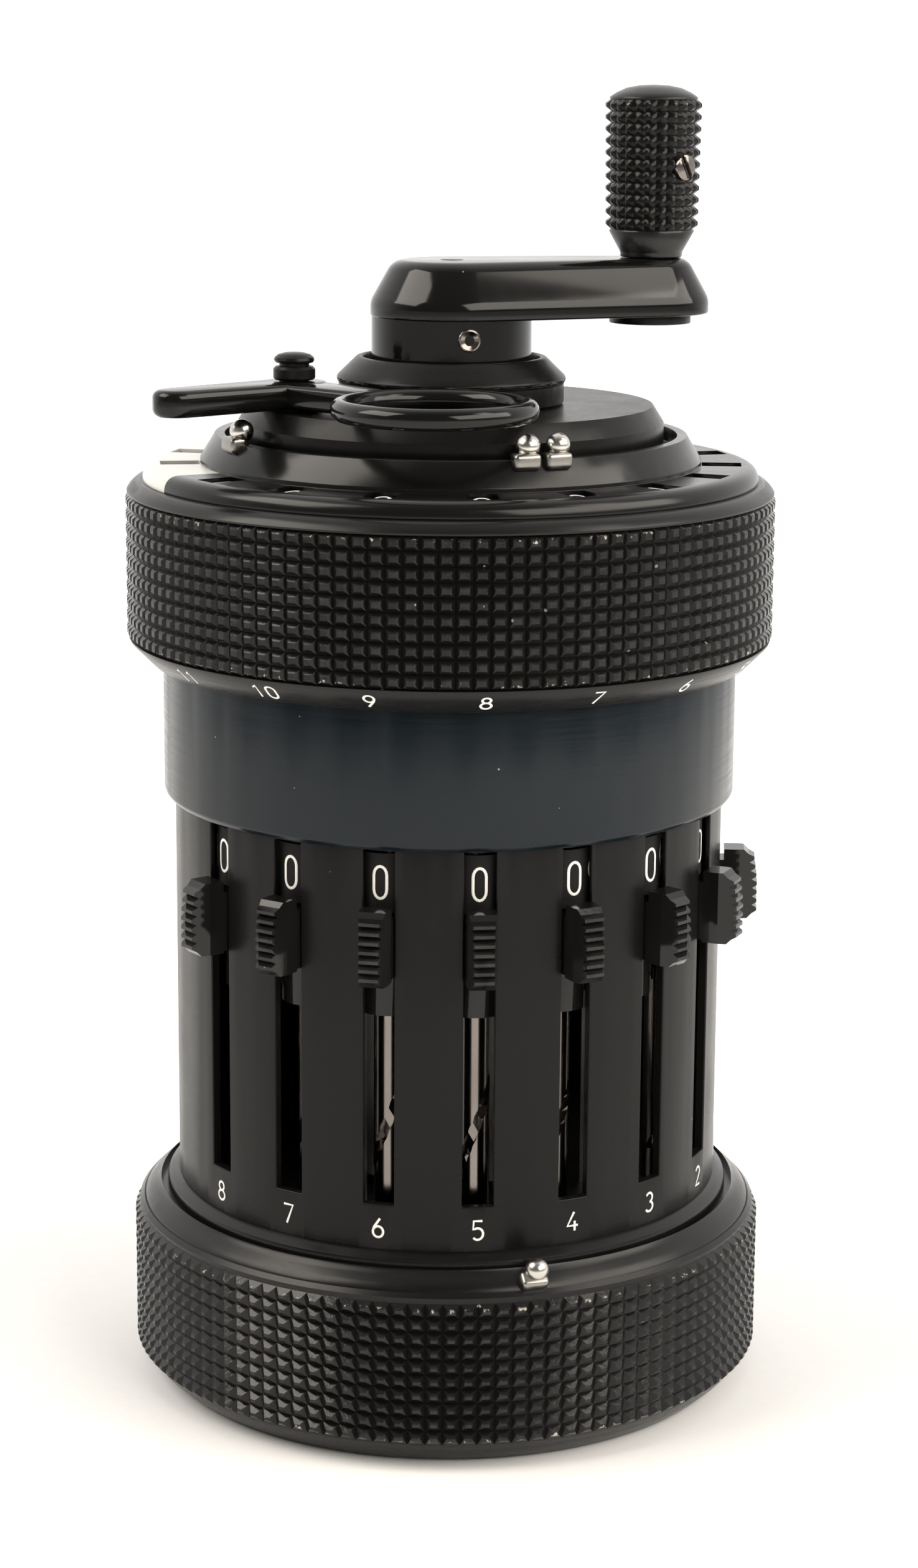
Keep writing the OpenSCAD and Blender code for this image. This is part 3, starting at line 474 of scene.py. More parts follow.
def vector_maths(tree, operation, *terms):
    """Result of a Vector Math node."""
    node = add_node(tree, "VectorMath", dict(enumerate(terms)), operation=operation)
    return node.outputs["Value" if operation in {"LENGTH", "DOT_PRODUCT"} else "Vector"]


def flattened(tree, vector):
    """A vector without its height."""
    return vector_maths(tree, "MULTIPLY", vector, (1, 1, 0))


def noise(tree, vector, scale, detail, roughness=0.5):
    """Value of a noise texture."""
    sockets = {"Vector": vector, "Scale": scale, "Detail": detail, "Roughness": roughness}
    return add_node(tree, "TexNoise", sockets).outputs["Fac"]


def ramp(tree, value, start, end, low=0.0, high=1.0, **settings):
    """A value mapped from start and end to low and high."""
    sockets = {"Value": value, "From Min": start, "From Max": end, "To Min": low, "To Max": high}
    return add_node(tree, "MapRange", sockets, **settings).outputs["Result"]


def mix_colour(tree, factor, first, second):
    """Colour between two others by a factor socket; each is a colour or a socket."""
    first, second = (end if isinstance(end, bpy.types.NodeSocket) else (*end, 1) for end in (first, second))
    return add_node(tree, "Mix", {0: factor, 6: first, 7: second}, data_type="RGBA").outputs[2]


def bump(tree, shader, height, strength, distance):
    """Bump from a height socket to the shader's normal."""
    node = add_node(tree, "Bump", {"Strength": strength, "Distance": distance, "Height": height})
    tree.links.new(node.outputs["Normal"], shader.inputs["Normal"])


def built_once(build):
    """Keep the node group that a function builds under the function's own name."""
    @wraps(build)
    def fetch():
        return bpy.data.node_groups.get(build.__name__) or build(build.__name__)
    return fetch


def open_group(name, **inputs):
    """A shader node group with a vector and float inputs, and the sockets that these come in by."""
    group = bpy.data.node_groups.new(name, "ShaderNodeTree")
    group.interface.new_socket(name="Vector", in_out="INPUT", socket_type="NodeSocketVector")
    for label, default in inputs.items():
        socket = group.interface.new_socket(name=label, in_out="INPUT", socket_type="NodeSocketFloat")
        socket.default_value = default
    return group, group.nodes.new("NodeGroupInput").outputs


def close_group(group, **outputs):
    """Lead sockets out of a group as its float outputs."""
    for label in outputs:
        group.interface.new_socket(name=label, in_out="OUTPUT", socket_type="NodeSocketFloat")
    leave = group.nodes.new("NodeGroupOutput")
    for label, socket in outputs.items():
        group.links.new(socket, leave.inputs[label])
    return group


def use_group(tree, group, vector, **sockets):
    """A group node on a vector, with its own values."""
    return add_node(tree, "Group", {"Vector": vector, **sockets}, node_tree=group)


@built_once
def enamel_grain(name):
    """Sprayed enamel: patchy roughness, and a fine uneven skin."""
    group, given = open_group(name, Scale=900.0, Smoothest=0.3, Roughest=0.5)
    patch = noise(group, given["Vector"], 130.0, 5.0, 0.6)
    skin = noise(group, given["Vector"], given["Scale"], 3.0, 0.55)
    blend = maths(group, "MULTIPLY_ADD", skin, 0.35, patch)
    rough = ramp(group, blend, 0.4, 0.95, given["Smoothest"], given["Roughest"])
    return close_group(group, Roughness=rough, Height=skin, Patch=patch)


@built_once
def dust_specks(name):
    """Sparse specks of dust and small chips."""
    group, given = open_group(name, Scale=420.0, Amount=0.06)
    cells = add_node(group, "TexVoronoi", {"Vector": given["Vector"], "Scale": given["Scale"]}, feature="F1")
    ragged = maths(group, "MULTIPLY", given["Amount"], noise(group, given["Vector"], 2600.0, 2.0))
    speck = maths(group, "LESS_THAN", cells.outputs["Distance"], ragged)
    pick = add_node(group, "SeparateColor", {"Color": cells.outputs["Color"]})
    few = maths(group, "GREATER_THAN", pick.outputs["Red"], 0.72)
    return close_group(group, Mask=maths(group, "MULTIPLY", speck, few))


@built_once
def turned_lines(name):
    """Fine lines that run round the main axis, as a lathe or a brush leaves them."""
    group, given = open_group(name, Scale=6000.0, Smoothest=0.25, Roughest=0.45)
    x, y, z = add_node(group, "SeparateXYZ", {0: given["Vector"]}).outputs
    squares = maths(group, "ADD", maths(group, "POWER", x, 2.0), maths(group, "POWER", y, 2.0))
    across = maths(group, "ADD", maths(group, "SQRT", squares), z)
    slow = maths(group, "MULTIPLY", maths(group, "ARCTAN2", y, x), 0.0006)
    vector = add_node(group, "CombineXYZ", {"X": across, "Y": slow}).outputs[0]
    lines = noise(group, vector, given["Scale"], 4.0, 0.65)
    rough = ramp(group, lines, 0.3, 0.7, given["Smoothest"], given["Roughest"])
    return close_group(group, Roughness=rough, Height=lines, Lines=lines)


@built_once
def rubbed_tips(name):
    """Mask of the outermost part of a round grip, broken up by handling, lightened partly as paint rubbing and
    partly as painted glints; and of pale specks near its ends, partly chipping of the paint and partly painted
    highlights.
    """
    group, given = open_group(name, Start=26.3 * MM, Tip=26.5 * MM, Middle=0.0, Half=6 * MM, Loose=0.3)
    vector = given["Vector"]
    height = add_node(group, "SeparateXYZ", {0: vector}).outputs["Z"]
    away = maths(group, "ABSOLUTE", maths(group, "SUBTRACT", height, given["Middle"]))
    rim = ramp(group, maths(group, "DIVIDE", away, given["Half"]), 0.78, 1.0, 0.0, given["Loose"])
    # Specks near the end rows: partly chipping of the paint, partly painted highlights.
    chipped_and_highlit = ramp(group, maths(group, "ADD", noise(group, vector, 2400.0, 3.0), rim), 0.9, 0.94)
    reach = vector_maths(group, "LENGTH", flattened(group, vector))
    outermost = ramp(group, reach, given["Start"], given["Tip"])
    # Patchy mask for the lighter tips: partly paint rubbing, partly painted glints.
    handled_and_glinting = ramp(group, noise(group, vector, 700.0, 4.0), 0.42, 0.7)
    return close_group(group, Mask=maths(group, "MULTIPLY", outermost, handled_and_glinting),
                       Chips=maths(group, "MULTIPLY", outermost, chipped_and_highlit))


# Finishes

def bare_finish(name):
    """A new material with its shader and Object coordinates."""
    made = bpy.data.materials.new(name)
    made.use_nodes = True
    tree = made.node_tree
    return made, tree, tree.nodes["Principled BSDF"], add_node(tree, "TexCoord").outputs["Object"]


def lighter(colour, times):
    """A colour made lighter, as dry or worn paint is, or darker; also used for painted light and painted shade."""
    return tuple(min(1, part * times) for part in colour)


def scene_colour(name, times=1.0):
    """One of the scene's finish colours, made lighter or darker."""
    return lighter(getattr(bpy.context.scene.calculator_colours, name), times)


def coat(tree, shader, coords, tone, grain, shine, skin, specks, dust):
    """Dust a tone and lead it to the shader, with the roughness, shine and skin of paint."""
    mask = use_group(tree, dust_specks(), coords, Amount=specks).outputs["Mask"]
    tree.links.new(mix_colour(tree, mask, tone, dust), shader.inputs["Base Color"])
    tree.links.new(grain.outputs["Roughness"], shader.inputs["Roughness"])
    shader.inputs["Specular IOR Level"].default_value = shine
    bump(tree, shader, grain.outputs["Height"], skin, 0.02 * MM)


def enamel(name, colour, shine, rough, scale=2600.0, skin=0.12, specks=0.05, patchy=1.5, times=1.0,
           over=None):
    """Sprayed enamel with grain and dust.

    over(tree, coords, grain, colour, tone) may lay something on it under the dust, and gives the new tone."""
    made, tree, shader, coords = bare_finish(name)
    colour = scene_colour(colour, times)
    grain = use_group(tree, enamel_grain(), coords, Scale=scale, Smoothest=rough[0], Roughest=rough[1])
    tone = mix_colour(tree, grain.outputs["Patch"], colour, lighter(colour, patchy))
    if over:
        tone = over(tree, coords, grain, colour, tone)
    coat(tree, shader, coords, tone, grain, shine, skin, specks, DUST)
    return made


def turned_enamel(name, colour, shine, rough):
    """Enamel over fine lines that run round the main axis."""
    made, tree, shader, coords = bare_finish(name)
    colour = scene_colour(colour)
    lines = use_group(tree, turned_lines(), coords, Scale=4200.0, Smoothest=rough[0], Roughest=rough[1])
    tone = mix_colour(tree, lines.outputs["Lines"], lighter(colour, 0.8), lighter(colour, 1.25))
    coat(tree, shader, coords, tone, lines, shine, skin=0.12, specks=0.05, dust=(0.3, 0.3, 0.29))
    return made


def metal(name, colour, rough, lines=None, times=1.0):
    """Bare metal with a slight tarnish and, where their scale is given, lathe lines round the main axis."""
    made, tree, shader, coords = bare_finish(name)
    colour = scene_colour(colour, times)
    limits = {"Smoothest": rough[0], "Roughest": rough[1]}
    grain = use_group(tree, enamel_grain(), coords, Scale=1500.0, **limits)
    tone = mix_colour(tree, grain.outputs["Patch"], colour, lighter(colour, 0.72))
    tree.links.new(tone, shader.inputs["Base Color"])
    shader.inputs["Metallic"].default_value = 1
    if lines:
        grain = use_group(tree, turned_lines(), coords, Scale=lines, **limits)
        bump(tree, shader, grain.outputs["Height"], 0.1, 0.01 * MM)
    tree.links.new(grain.outputs["Roughness"], shader.inputs["Roughness"])
    return made


def counter_field(tree, coords, grain, colour, tone):
    """Pale field round the counter's windows, laid on the cover."""
    pale_colour = scene_colour("counter")
    pale = mix_colour(tree, grain.outputs["Patch"], pale_colour, lighter(pale_colour, 0.86))
    flat = flattened(tree, coords)
    middle = facing((counter_angle(1) + counter_angle(COUNTER_PLACES)) / 2)
    toward = vector_maths(tree, "DOT_PRODUCT", vector_maths(tree, "NORMALIZE", flat), middle)
    end = math.cos(math.radians(70))
    sector = ramp(tree, toward, end - 0.002, end + 0.002)
    outside = ramp(tree, vector_maths(tree, "LENGTH", flat), 20.4 * MM, 20.46 * MM)
    return mix_colour(tree, maths(tree, "MULTIPLY", sector, outside), tone, pale)


def rubbed(centre, start, tip, middle, half, loose):
    """Rubbing and painted light to lay on enamel: lighter from start to tip, partly as rubbing and partly as
    painted glints, and pale specks away from the middle height, partly chipping and partly painted highlights.
    """
    def over(tree, coords, grain, colour, tone):
        shift = add_node(tree, "Mapping", {"Vector": coords, "Location": (-centre.x, -centre.y, 0)})
        tips = use_group(tree, rubbed_tips(), shift.outputs["Vector"], Start=start, Tip=tip,
                         Middle=middle, Half=half, Loose=loose)
        # Lighter tips: partly paint rubbing, partly painted glints.
        worn = mix_colour(tree, tips.outputs["Mask"], tone, lighter(colour, 4))
        # Pale specks on the end rows: partly chipping, partly painted highlights.
        return mix_colour(tree, tips.outputs["Chips"], worn, CHIP_AND_HIGHLIGHT)
    return over


def grip_enamel(name, centre, tip, foot, crest, shine, loose):
    """Satin black of a knurled grip, lighter on its tips and specked pale on its end rows, partly from rubbing and
    chipping and partly as painted glints and highlights.
    """
    wear_and_glints = rubbed(centre, tip - 0.2 * MM, tip, (foot + crest) / 2, (crest - foot) / 2, loose)
    return enamel(name, "enamel", shine, (0.09, 0.24), skin=0.8, specks=0.12, over=wear_and_glints)


def knob_enamel():
    """Smoother black of the sliders' finger knobs, lighter overall as painted light, their ridges lighter partly
    from rubbing and partly as painted glints.
    """
    tip = max(vert.co.xy.length for vert in frame["nodes"]["slider_1"].data.vertices)
    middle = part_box("slider_1")[1].z - 3 * MM
    wear_and_glints = rubbed(Vector(), tip - 0.4 * MM, tip, middle, 4 * MM, 0.34)
    # The casing's enamel made 1.3 times lighter, as painted light, with painted glints on the ridges.
    return enamel("knob_enamel", "enamel", shine=0.33, rough=(0.05, 0.12), skin=0.1, times=1.3, over=wear_and_glints)


FINISHES = {
    "black_satin": partial(enamel, "casing_enamel", "enamel", shine=0.16, rough=(0.24, 0.36)),
    "black_gloss": partial(
        enamel, "crank_enamel", "gloss", shine=0.31, rough=(0.07, 0.15), scale=500.0, skin=0.012),
    "handle_enamel": partial(enamel, "handle_enamel", "enamel", shine=0.42, rough=(0.24, 0.36)),
    "knob_enamel": knob_enamel,
    "register_cover": partial(
        enamel, "cover_enamel", "gloss", shine=0.3, rough=(0.16, 0.26), scale=500.0, skin=0.015, patchy=1.6,
        over=counter_field),
    "dial_black": partial(
        enamel, "dial_enamel", "enamel", shine=0.2, rough=(0.5, 0.7), skin=0.2, specks=0.03),
    "numeral_paint": partial(
        enamel, "numeral_paint", "numeral", shine=0.3, rough=(0.4, 0.6), scale=3000.0, skin=0.2, specks=0.0),
    "slate_enamel": partial(turned_enamel, "band_enamel", "slate", shine=0.26, rough=(0.14, 0.28)),
    "shoulder_enamel": partial(turned_enamel, "shoulder_enamel", "enamel", shine=0.28, rough=(0.2, 0.36)),
    "bright_metal": partial(metal, "marker_nickel", "nickel", rough=(0.14, 0.28)),
    # The markers' nickel at half brightness for their feet: painted shade.
    "shaded_foot_metal": partial(metal, "foot_nickel", "nickel", rough=(0.2, 0.36), times=0.5),
    "setting_metal": partial(metal, "setting_metal", "shaft", rough=(0.12, 0.22)),
    "steel": partial(metal, "shaft_steel", "steel", rough=(0.25, 0.45), lines=5000.0),
    "light_alloy": partial(metal, "drum_alloy", "alloy", rough=(0.3, 0.5), lines=4000.0),
}


@cache
def finish(name):
    """A finish by its name, made once."""
    return FINISHES[name]()


# Operators

class BuildStep:
    """What the operators share: each can be undone."""

    bl_options = {"REGISTER", "UNDO"}


class CALCULATOR_OT_dress_solids(BuildStep, bpy.types.Operator):
    """Give every CAD solid its finish, and soften the edges of those in view"""

    bl_idname = "calculator.dress_solids"
    bl_label = "Dress solids"
    own = {"carriage_cover": "register_cover", "setting_shaft": "setting_metal", "slider": "knob_enamel"}
    soft = {
        "body_housing": 0.12, "collar_band": 0.15, "carriage_cover": 0.1, "clearing_disc": 0.2,
        "clearing_collar": 0.15, "handle_spindle": 0.15, "reversing_lever": 0.12, "bottom_plate": 0.1,
        "slider": 0.1,
    }

    def execute(self, context):
        for name, solid in frame["nodes"].items():
            kind = name.rstrip("_0123456789")
            solid.data.materials.clear()
            solid.data.materials.append(finish(self.own.get(kind, SLOTS[name])))
            if kind in self.soft:
                solid.modifiers.new("Weld", "WELD").merge_threshold = TOUCH
                soften = solid.modifiers.new("Bevel", "BEVEL")
                soften.width = self.soft[kind] * MM
                soften.segments = 3
                soften.limit_method = "ANGLE"
                soften.angle_limit = math.radians(28)
                soften.harden_normals = True
        return {"FINISHED"}


class CALCULATOR_OT_base_grip(BuildStep, bpy.types.Operator):
    """Knurled base with its shoulder, fine line and marker groove"""

    bl_idname = "calculator.base_grip"
    bl_label = "Base grip"

    def execute(self, context):
        sizes = context.scene.calculator_grips
        outer, _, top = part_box("base_ring")[1]
        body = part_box("body_housing")[1].x
        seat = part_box("body_housing")[0].z
        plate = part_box("bottom_plate")[1]
        foot, crest = 2.2 * MM, top - 3.1 * MM
        root = rows_between((outer - sizes.depth, foot), (outer - sizes.depth, crest), sizes.base_rows)

        def shoulder(radius):
            """Height of the shoulder's slope at a radius."""
            share = (outer - radius) / (outer - body)
            return crest + (top - crest) * (share + 0.42 * share * (1 - share))

        def along(radius, *steps):
            """Points on the slope, by steps in millimetres from a radius."""
            return [(radius + step * MM, shoulder(radius + step * MM)) for step in steps]

        groove, line = body + 1.3 * MM, outer - 0.85 * MM
        upper = along(outer, -0.42) + along(line, 0.1) + points(line, shoulder(line), (0, -0.14))
        upper += along(line, -0.1, -0.5) + along(groove, 0.75, 0.38)
        upper += points(groove, shoulder(groove), (0.3, -0.12))
        upper += points(groove, top, (0.3, -1.5), (-0.3, -1.5))
        upper += points(groove, shoulder(groove), (-0.3, 0.02)) + along(groove, -0.38)
        upper += points(body, top, (0.35, -0.14), (0.12, -0.02), (0, 0))
        inside = points(body, seat, (0, 0), (-2.3, 0), (-2.3, -2)) + points(plate.x, seat, (-0.8, -2))
        inside += points(plate.x, plate.z, (-0.8, 0), (0, 0))
        below = [(plate.x, 0)] + points(outer, 0, (-3.05, 0), (-2.75, 0.06), (-2.3, 0.3))
        below += points(outer, foot, (-1.15, -0.85), (-0.6, -0.05))
        bm = bmesh.new()
        lathe(bm, root + upper + inside + below, sizes.base_columns, closed=True)
        raise_cells(bm, root, sizes.base_columns, [(sizes.point, sizes.depth)])
        paint = grip_enamel("base_grip_enamel", Vector(), outer, foot, crest, shine=0.32, loose=0.46)
        new_piece("base_grip", bm, (paint, finish("shoulder_enamel")), "housing", "base_ring")
        return {"FINISHED"}


class CALCULATOR_OT_carriage_grip(BuildStep, bpy.types.Operator):
    """Knurled carriage ring with its numbered bevel"""

    bl_idname = "calculator.carriage_grip"
    bl_label = "Carriage grip"

    def execute(self, context):
        sizes = context.scene.calculator_grips
        outer, _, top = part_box("carriage_ring")[1]
        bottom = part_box("carriage_ring")[0].z
        lip, bevel = carriage_bevel()
        foot, crest, depth = bottom + 2 * MM, top - 1.05 * MM, 0.42 * MM
        root = rows_between((outer - depth, foot), (outer - depth, crest), sizes.carriage_rows)
        above = points(outer, top, (-0.12, -1), (-0.1, -0.85), (-0.32, -0.5), (-0.72, -0.15), (-1.1, 0))
        inside = points(lip, top, (0.6, 0)) + points(lip, bottom, (0.6, 1), (0, 1), (0, 0))
        under = points(lip, bottom, (0.45, 0)) + bevel + points(outer, bottom, (-0.15, 1.95))
        bm = bmesh.new()
        lathe(bm, root + above + inside + under, sizes.carriage_columns, closed=True)
        raise_cells(bm, root, sizes.carriage_columns,
                    [(sizes.land_groove, depth * 0.72), (sizes.land_edge, depth * 0.28)])
        paint = grip_enamel("carriage_grip_enamel", Vector(), outer, foot, crest, shine=0.25, loose=0.37)
        new_piece("carriage_grip", bm, (paint, finish("shoulder_enamel")), "carriage",
                  "carriage_ring")
        return {"FINISHED"}


class CALCULATOR_OT_handle_grip(BuildStep, bpy.types.Operator):
    """Knurled handle of the crank, with its side screw"""

    bl_idname = "calculator.handle_grip"
    bl_label = "Handle grip"
    screw_angle = 24.6
    screw_height = 100.6 * MM
    slot_turn = -62

    def execute(self, context):
        sizes = context.scene.calculator_grips
        low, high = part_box("handle_knob")
        axis = (low + high) / 2
        outer = (high.x - low.x) / 2
        depth = 0.42 * MM
        root = rows_between((outer - depth - 0.16 * MM, low.z + 2 * MM), (outer - depth, high.z - 1.15 * MM),
                            sizes.handle_rows)
        dome = points(outer, high.z, (-0.34, -1.1), (-0.4, -0.95), (-0.9, -0.62), (-1.7, -0.26),
                      (-2.7, -0.06)) + [(0, high.z)]
        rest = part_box("crank_arm")[1].z + 0.04 * MM
        below = points(0, high.z, (0, -2.8), (1.66, -2.8))
        below += points(0, rest, (1.66, 0), (2.46, 0), (2.54, 0.1))
        below += points(0, low.z, (2.54, 0.05), (2.6, 0.22)) + points(outer, low.z, (-0.45, 1.85))
        bm = bmesh.new()
        lathe(bm, root + dome, sizes.handle_columns)
        lathe(bm, below + [root[0]], sizes.handle_columns)
        raise_cells(bm, root, sizes.handle_columns, [(sizes.point, depth)])
        bmesh.ops.translate(bm, vec=(axis.x, axis.y, 0), verts=bm.verts[:])
        paint = grip_enamel("handle_grip_enamel", axis, outer, root[0][1], root[-1][1], shine=0.17,
                            loose=0.44)
        new_piece("handle_grip", bm, (paint, finish("handle_enamel")), "handle", "handle_knob",
                  smooth=80)

        outward = facing(self.screw_angle)
        spot = Vector((axis.x, axis.y, self.screw_height)) + outward * (outer - 0.3 * MM)
        turn = Matrix.Rotation(math.radians(self.slot_turn), 4, "Z")
        screw = bmesh.new()
        slotted_screw(screw, 1.05 * MM, 0.5 * MM, 0.3 * MM, seat_on(spot, outward) @ turn)
        new_piece("handle_screw", screw, finish("setting_metal"), "handle")
        return {"FINISHED"}


class CALCULATOR_OT_clearing_ring(BuildStep, bpy.types.Operator):
    """Rounded finger ring, arm and tail of the clearing lever, and its button"""

    bl_idname = "calculator.clearing_ring"
    bl_label = "Clearing ring"
    ring_angle = -20.3
    ring_orbit = 17.9
    tail_turn = -91

    def execute(self, context):
        low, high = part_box("clearing_lever")
        pivot = Vector(JOINTS["lever_swing"]["pos_m"]).to_2d()
        centre = facing(self.ring_angle).to_2d() * self.ring_orbit * MM
        outer, width = 8 * MM, 1.55 * MM
        middle, half = (low.z + high.z) / 2, (high.z - low.z) / 2
        ring = bmesh.new()
        lathe(ring, arc(outer - width / 2, middle, width / 2, half, 0, 360 - 22.5, 15), 72, closed=True)
        bmesh.ops.translate(ring, vec=centre.to_3d(), verts=ring.verts[:])

        reach = ((centre - pivot).length - outer + 0.9 * MM) / MM
        lean = math.atan2(centre.y - pivot.y, centre.x - pivot.x)
        place = Matrix.Translation(pivot.to_3d()) @ Matrix.Rotation(lean, 4, "Z")
        aside = place @ Matrix.Rotation(math.radians(self.tail_turn), 4, "Z")
        under, over = low.z - 0.3 * MM, high.z + 0.12 * MM
        arm = [(0, 2), (0, -2.6), (reach, -1.9), (reach, 1.5)]
        eye = arc(0, 0, 2.7, 2.7, 0, 345, 23)
        tail = [(-1, -2.2), (11.9, -1.85), (12.7, -1.6), (13.3, -1.05), (13.6, -0.35), (13.6, 0.35),
                (13.3, 1.05), (12.7, 1.6), (11.9, 1.85), (-1, 2.2)]
        slab(ring, arm, under + 0.1 * MM, over - 0.1 * MM, 0.4, place)
        slab(ring, eye, under + 0.07 * MM, over - 0.07 * MM, 0.35, place)
        slab(ring, tail, under, over, 0.6, aside)
        new_piece("clearing_ring", ring, finish("black_gloss"), "clearing_lever",
                  "clearing_lever")

        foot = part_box("clearing_disc")[1].z
        profile = points(0, foot, (0, 0), (2.2, 0)) + points(0, under, (2.2, -0.05), (1.2, -0.05))
        profile += points(
            0, over + 0.05 * MM, (1.2, 0), (1.55, 0), (1.68, 0.15), (1.68, 0.85), (1.5, 1.05), (1.2, 1.1),
            (1.2, 1.3), (1.5, 1.36), (1.62, 1.55), (1.56, 1.76), (1.3, 1.98), (0.8, 2.12), (0, 2.18))
        button = bmesh.new()
        turned(button, profile, 40, Matrix.Translation(pivot.to_3d()))
        new_piece("lever_button", button, finish("black_satin"), "clearing", "lever_pivot")
        return {"FINISHED"}


class CALCULATOR_OT_markers(BuildStep, bpy.types.Operator):
    """Ball-headed markers of the base and the carriage, each on a rounded foot"""

    bl_idname = "calculator.markers"
    bl_label = "Markers"
    top_angles = {"top_marker_1": 2, "top_marker_2": 9.6, "top_marker_3": -77.6}
    base_angle, base_lean = 0.1, 38

    def execute(self, context):
        drop = Vector((0.5 * MM, -0.35 * MM, -1.1 * MM))
        for node, angle in self.top_angles.items():
            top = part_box(node)[1].z
            self.marker(node, Vector((18.8 * MM, 0, top - 0.9 * MM)), drop, angle, 0)
        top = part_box("base_marker")[1].z
        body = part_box("body_housing")[1].x
        self.marker("base_marker", Vector((body + 2.65 * MM, 0, top - 1.32 * MM)),
                    Vector((0.1 * MM, -0.3 * MM, -0.85 * MM)), self.base_angle, self.base_lean)
        return {"FINISHED"}

    def marker(self, node, ball, drop, angle, lean):
        """Ball and pillow foot; drop leads from the ball's middle to the foot's, lean tips the foot."""
        bm = bmesh.new()
        bmesh.ops.create_uvsphere(bm, u_segments=32, v_segments=20, radius=0.95 * MM,
                                  matrix=Matrix.Translation(ball))
        foot = bmesh.new()
        bmesh.ops.create_cube(foot, size=1)
        bmesh.ops.scale(foot, vec=(1.4 * MM, 2.2 * MM, 1.25 * MM), verts=foot.verts[:])
        round_edges(foot, foot.edges[:], 0.34 * MM, 4)
        for face in foot.faces:
            face.material_index = 1
        join(bm, foot, Matrix.Translation(ball + drop) @ Matrix.Rotation(math.radians(lean), 4, "Y"))
        turned(bm, points(0, 0, (0.62, 0), (0.5, 0.35), (0.62, 0.7)), 24,
               Matrix.Translation(ball - Vector((0, 0, 1.05 * MM))))
        bmesh.ops.rotate(bm, cent=(0, 0, 0), matrix=Matrix.Rotation(math.radians(angle - 90), 3, "Z"),
                         verts=bm.verts[:])
        # The feet take a darker copy of the nickel, as painted shade.
        new_piece(node.replace("marker", "ball_marker"), bm, (finish("bright_metal"), finish("shaded_foot_metal")),
                  node, node)


class CALCULATOR_OT_casing_numerals(BuildStep, bpy.types.Operator):
    """Place numbers under the slots and on the carriage's bevel"""

    bl_idname = "calculator.casing_numerals"
    bl_label = "Casing numerals"

    def execute(self, context):
        sizes = context.scene.calculator_numerals
        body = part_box("body_housing")[1].x
        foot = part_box("base_ring")[1].z + 0.9 * MM
        numbers = [(k, on_cylinder(Vector(), body, math.radians(slider_angle(k)), foot))
                   for k in range(1, PLACES + 1)]
        paint_numbers("slot_numerals", "housing", numbers, sizes.slot_height, sizes.slot_stroke)

        start, end = carriage_bevel()[1]
        wide, tall = end[0] - start[0], end[1] - start[1]
        lean = math.atan2(tall, wide)
        room = (math.hypot(wide, tall) - sizes.place_height) / 2
        radius, foot = start[0] + room * math.cos(lean), start[1] + room * math.sin(lean)
        numbers = [(k, on_cone(radius, foot, lean, math.radians(angle)))
                   for _, k, angle in register_places()]
        paint_numbers("place_numerals", "carriage", numbers, sizes.place_height, sizes.place_stroke)
        return {"FINISHED"}


class CALCULATOR_OT_setting_numerals(BuildStep, bpy.types.Operator):
    """Numerals 0 to 9 round each setting shaft's drum, with black enamel behind them"""

    bl_idname = "calculator.setting_numerals"
    bl_label = "Setting numerals"
    drum = (44.49 * MM, 49.21 * MM)
    foot = 45.5 * MM

    def execute(self, context):
        sizes = context.scene.calculator_numerals
        under, over = self.drum
        for k in range(1, PLACES + 1):
            name = f"setting_shaft_{k}"
            axis = Vector(JOINTS[f"{name}_turn"]["pos_m"])
            low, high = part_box(name)
            radius = (high.x - low.x) / 2
            inner, skin = radius - 0.3 * MM, radius + 0.012 * MM
            bm = bmesh.new()
            lathe(bm, [(inner, under), (skin, under), (skin, over), (inner, over)], 48, closed=True)
            bmesh.ops.translate(bm, vec=(axis.x, axis.y, 0), verts=bm.verts[:])
            new_piece(f"setting_drum_{k}", bm, finish("dial_black"), name)
            front = math.radians(slider_angle(k))
            numbers = [(digit, on_cylinder(axis, skin, front - digit * STEP, self.foot))
                       for digit in range(DIGITS)]
            paint_numbers(f"setting_numerals_{k}", name, numbers, sizes.setting_height, sizes.setting_stroke,
                          sizes.setting_width)
        return {"FINISHED"}


class CALCULATOR_OT_dial_numerals(BuildStep, bpy.types.Operator):
    """Numerals 0 to 9 round each result and counter dial"""

    bl_idname = "calculator.dial_numerals"
    bl_label = "Dial numerals"
    window_radius = 22.05 * MM

    def execute(self, context):
        sizes = context.scene.calculator_numerals
        top = self.window_radius + sizes.dial_height / 2
        for name, *_ in register_places():
            joint = JOINTS[f"{name}_turn"]
            axis, hub = Vector(joint["axis"]), Vector(joint["pos_m"])
            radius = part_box(name)[1].z - hub.z
            numbers = [(digit, on_dial(axis, hub, top, radius, digit * STEP)) for digit in range(DIGITS)]
            paint_numbers(name.replace("dial", "numerals"), name, numbers, sizes.dial_height,
                          sizes.dial_stroke)
        return {"FINISHED"}


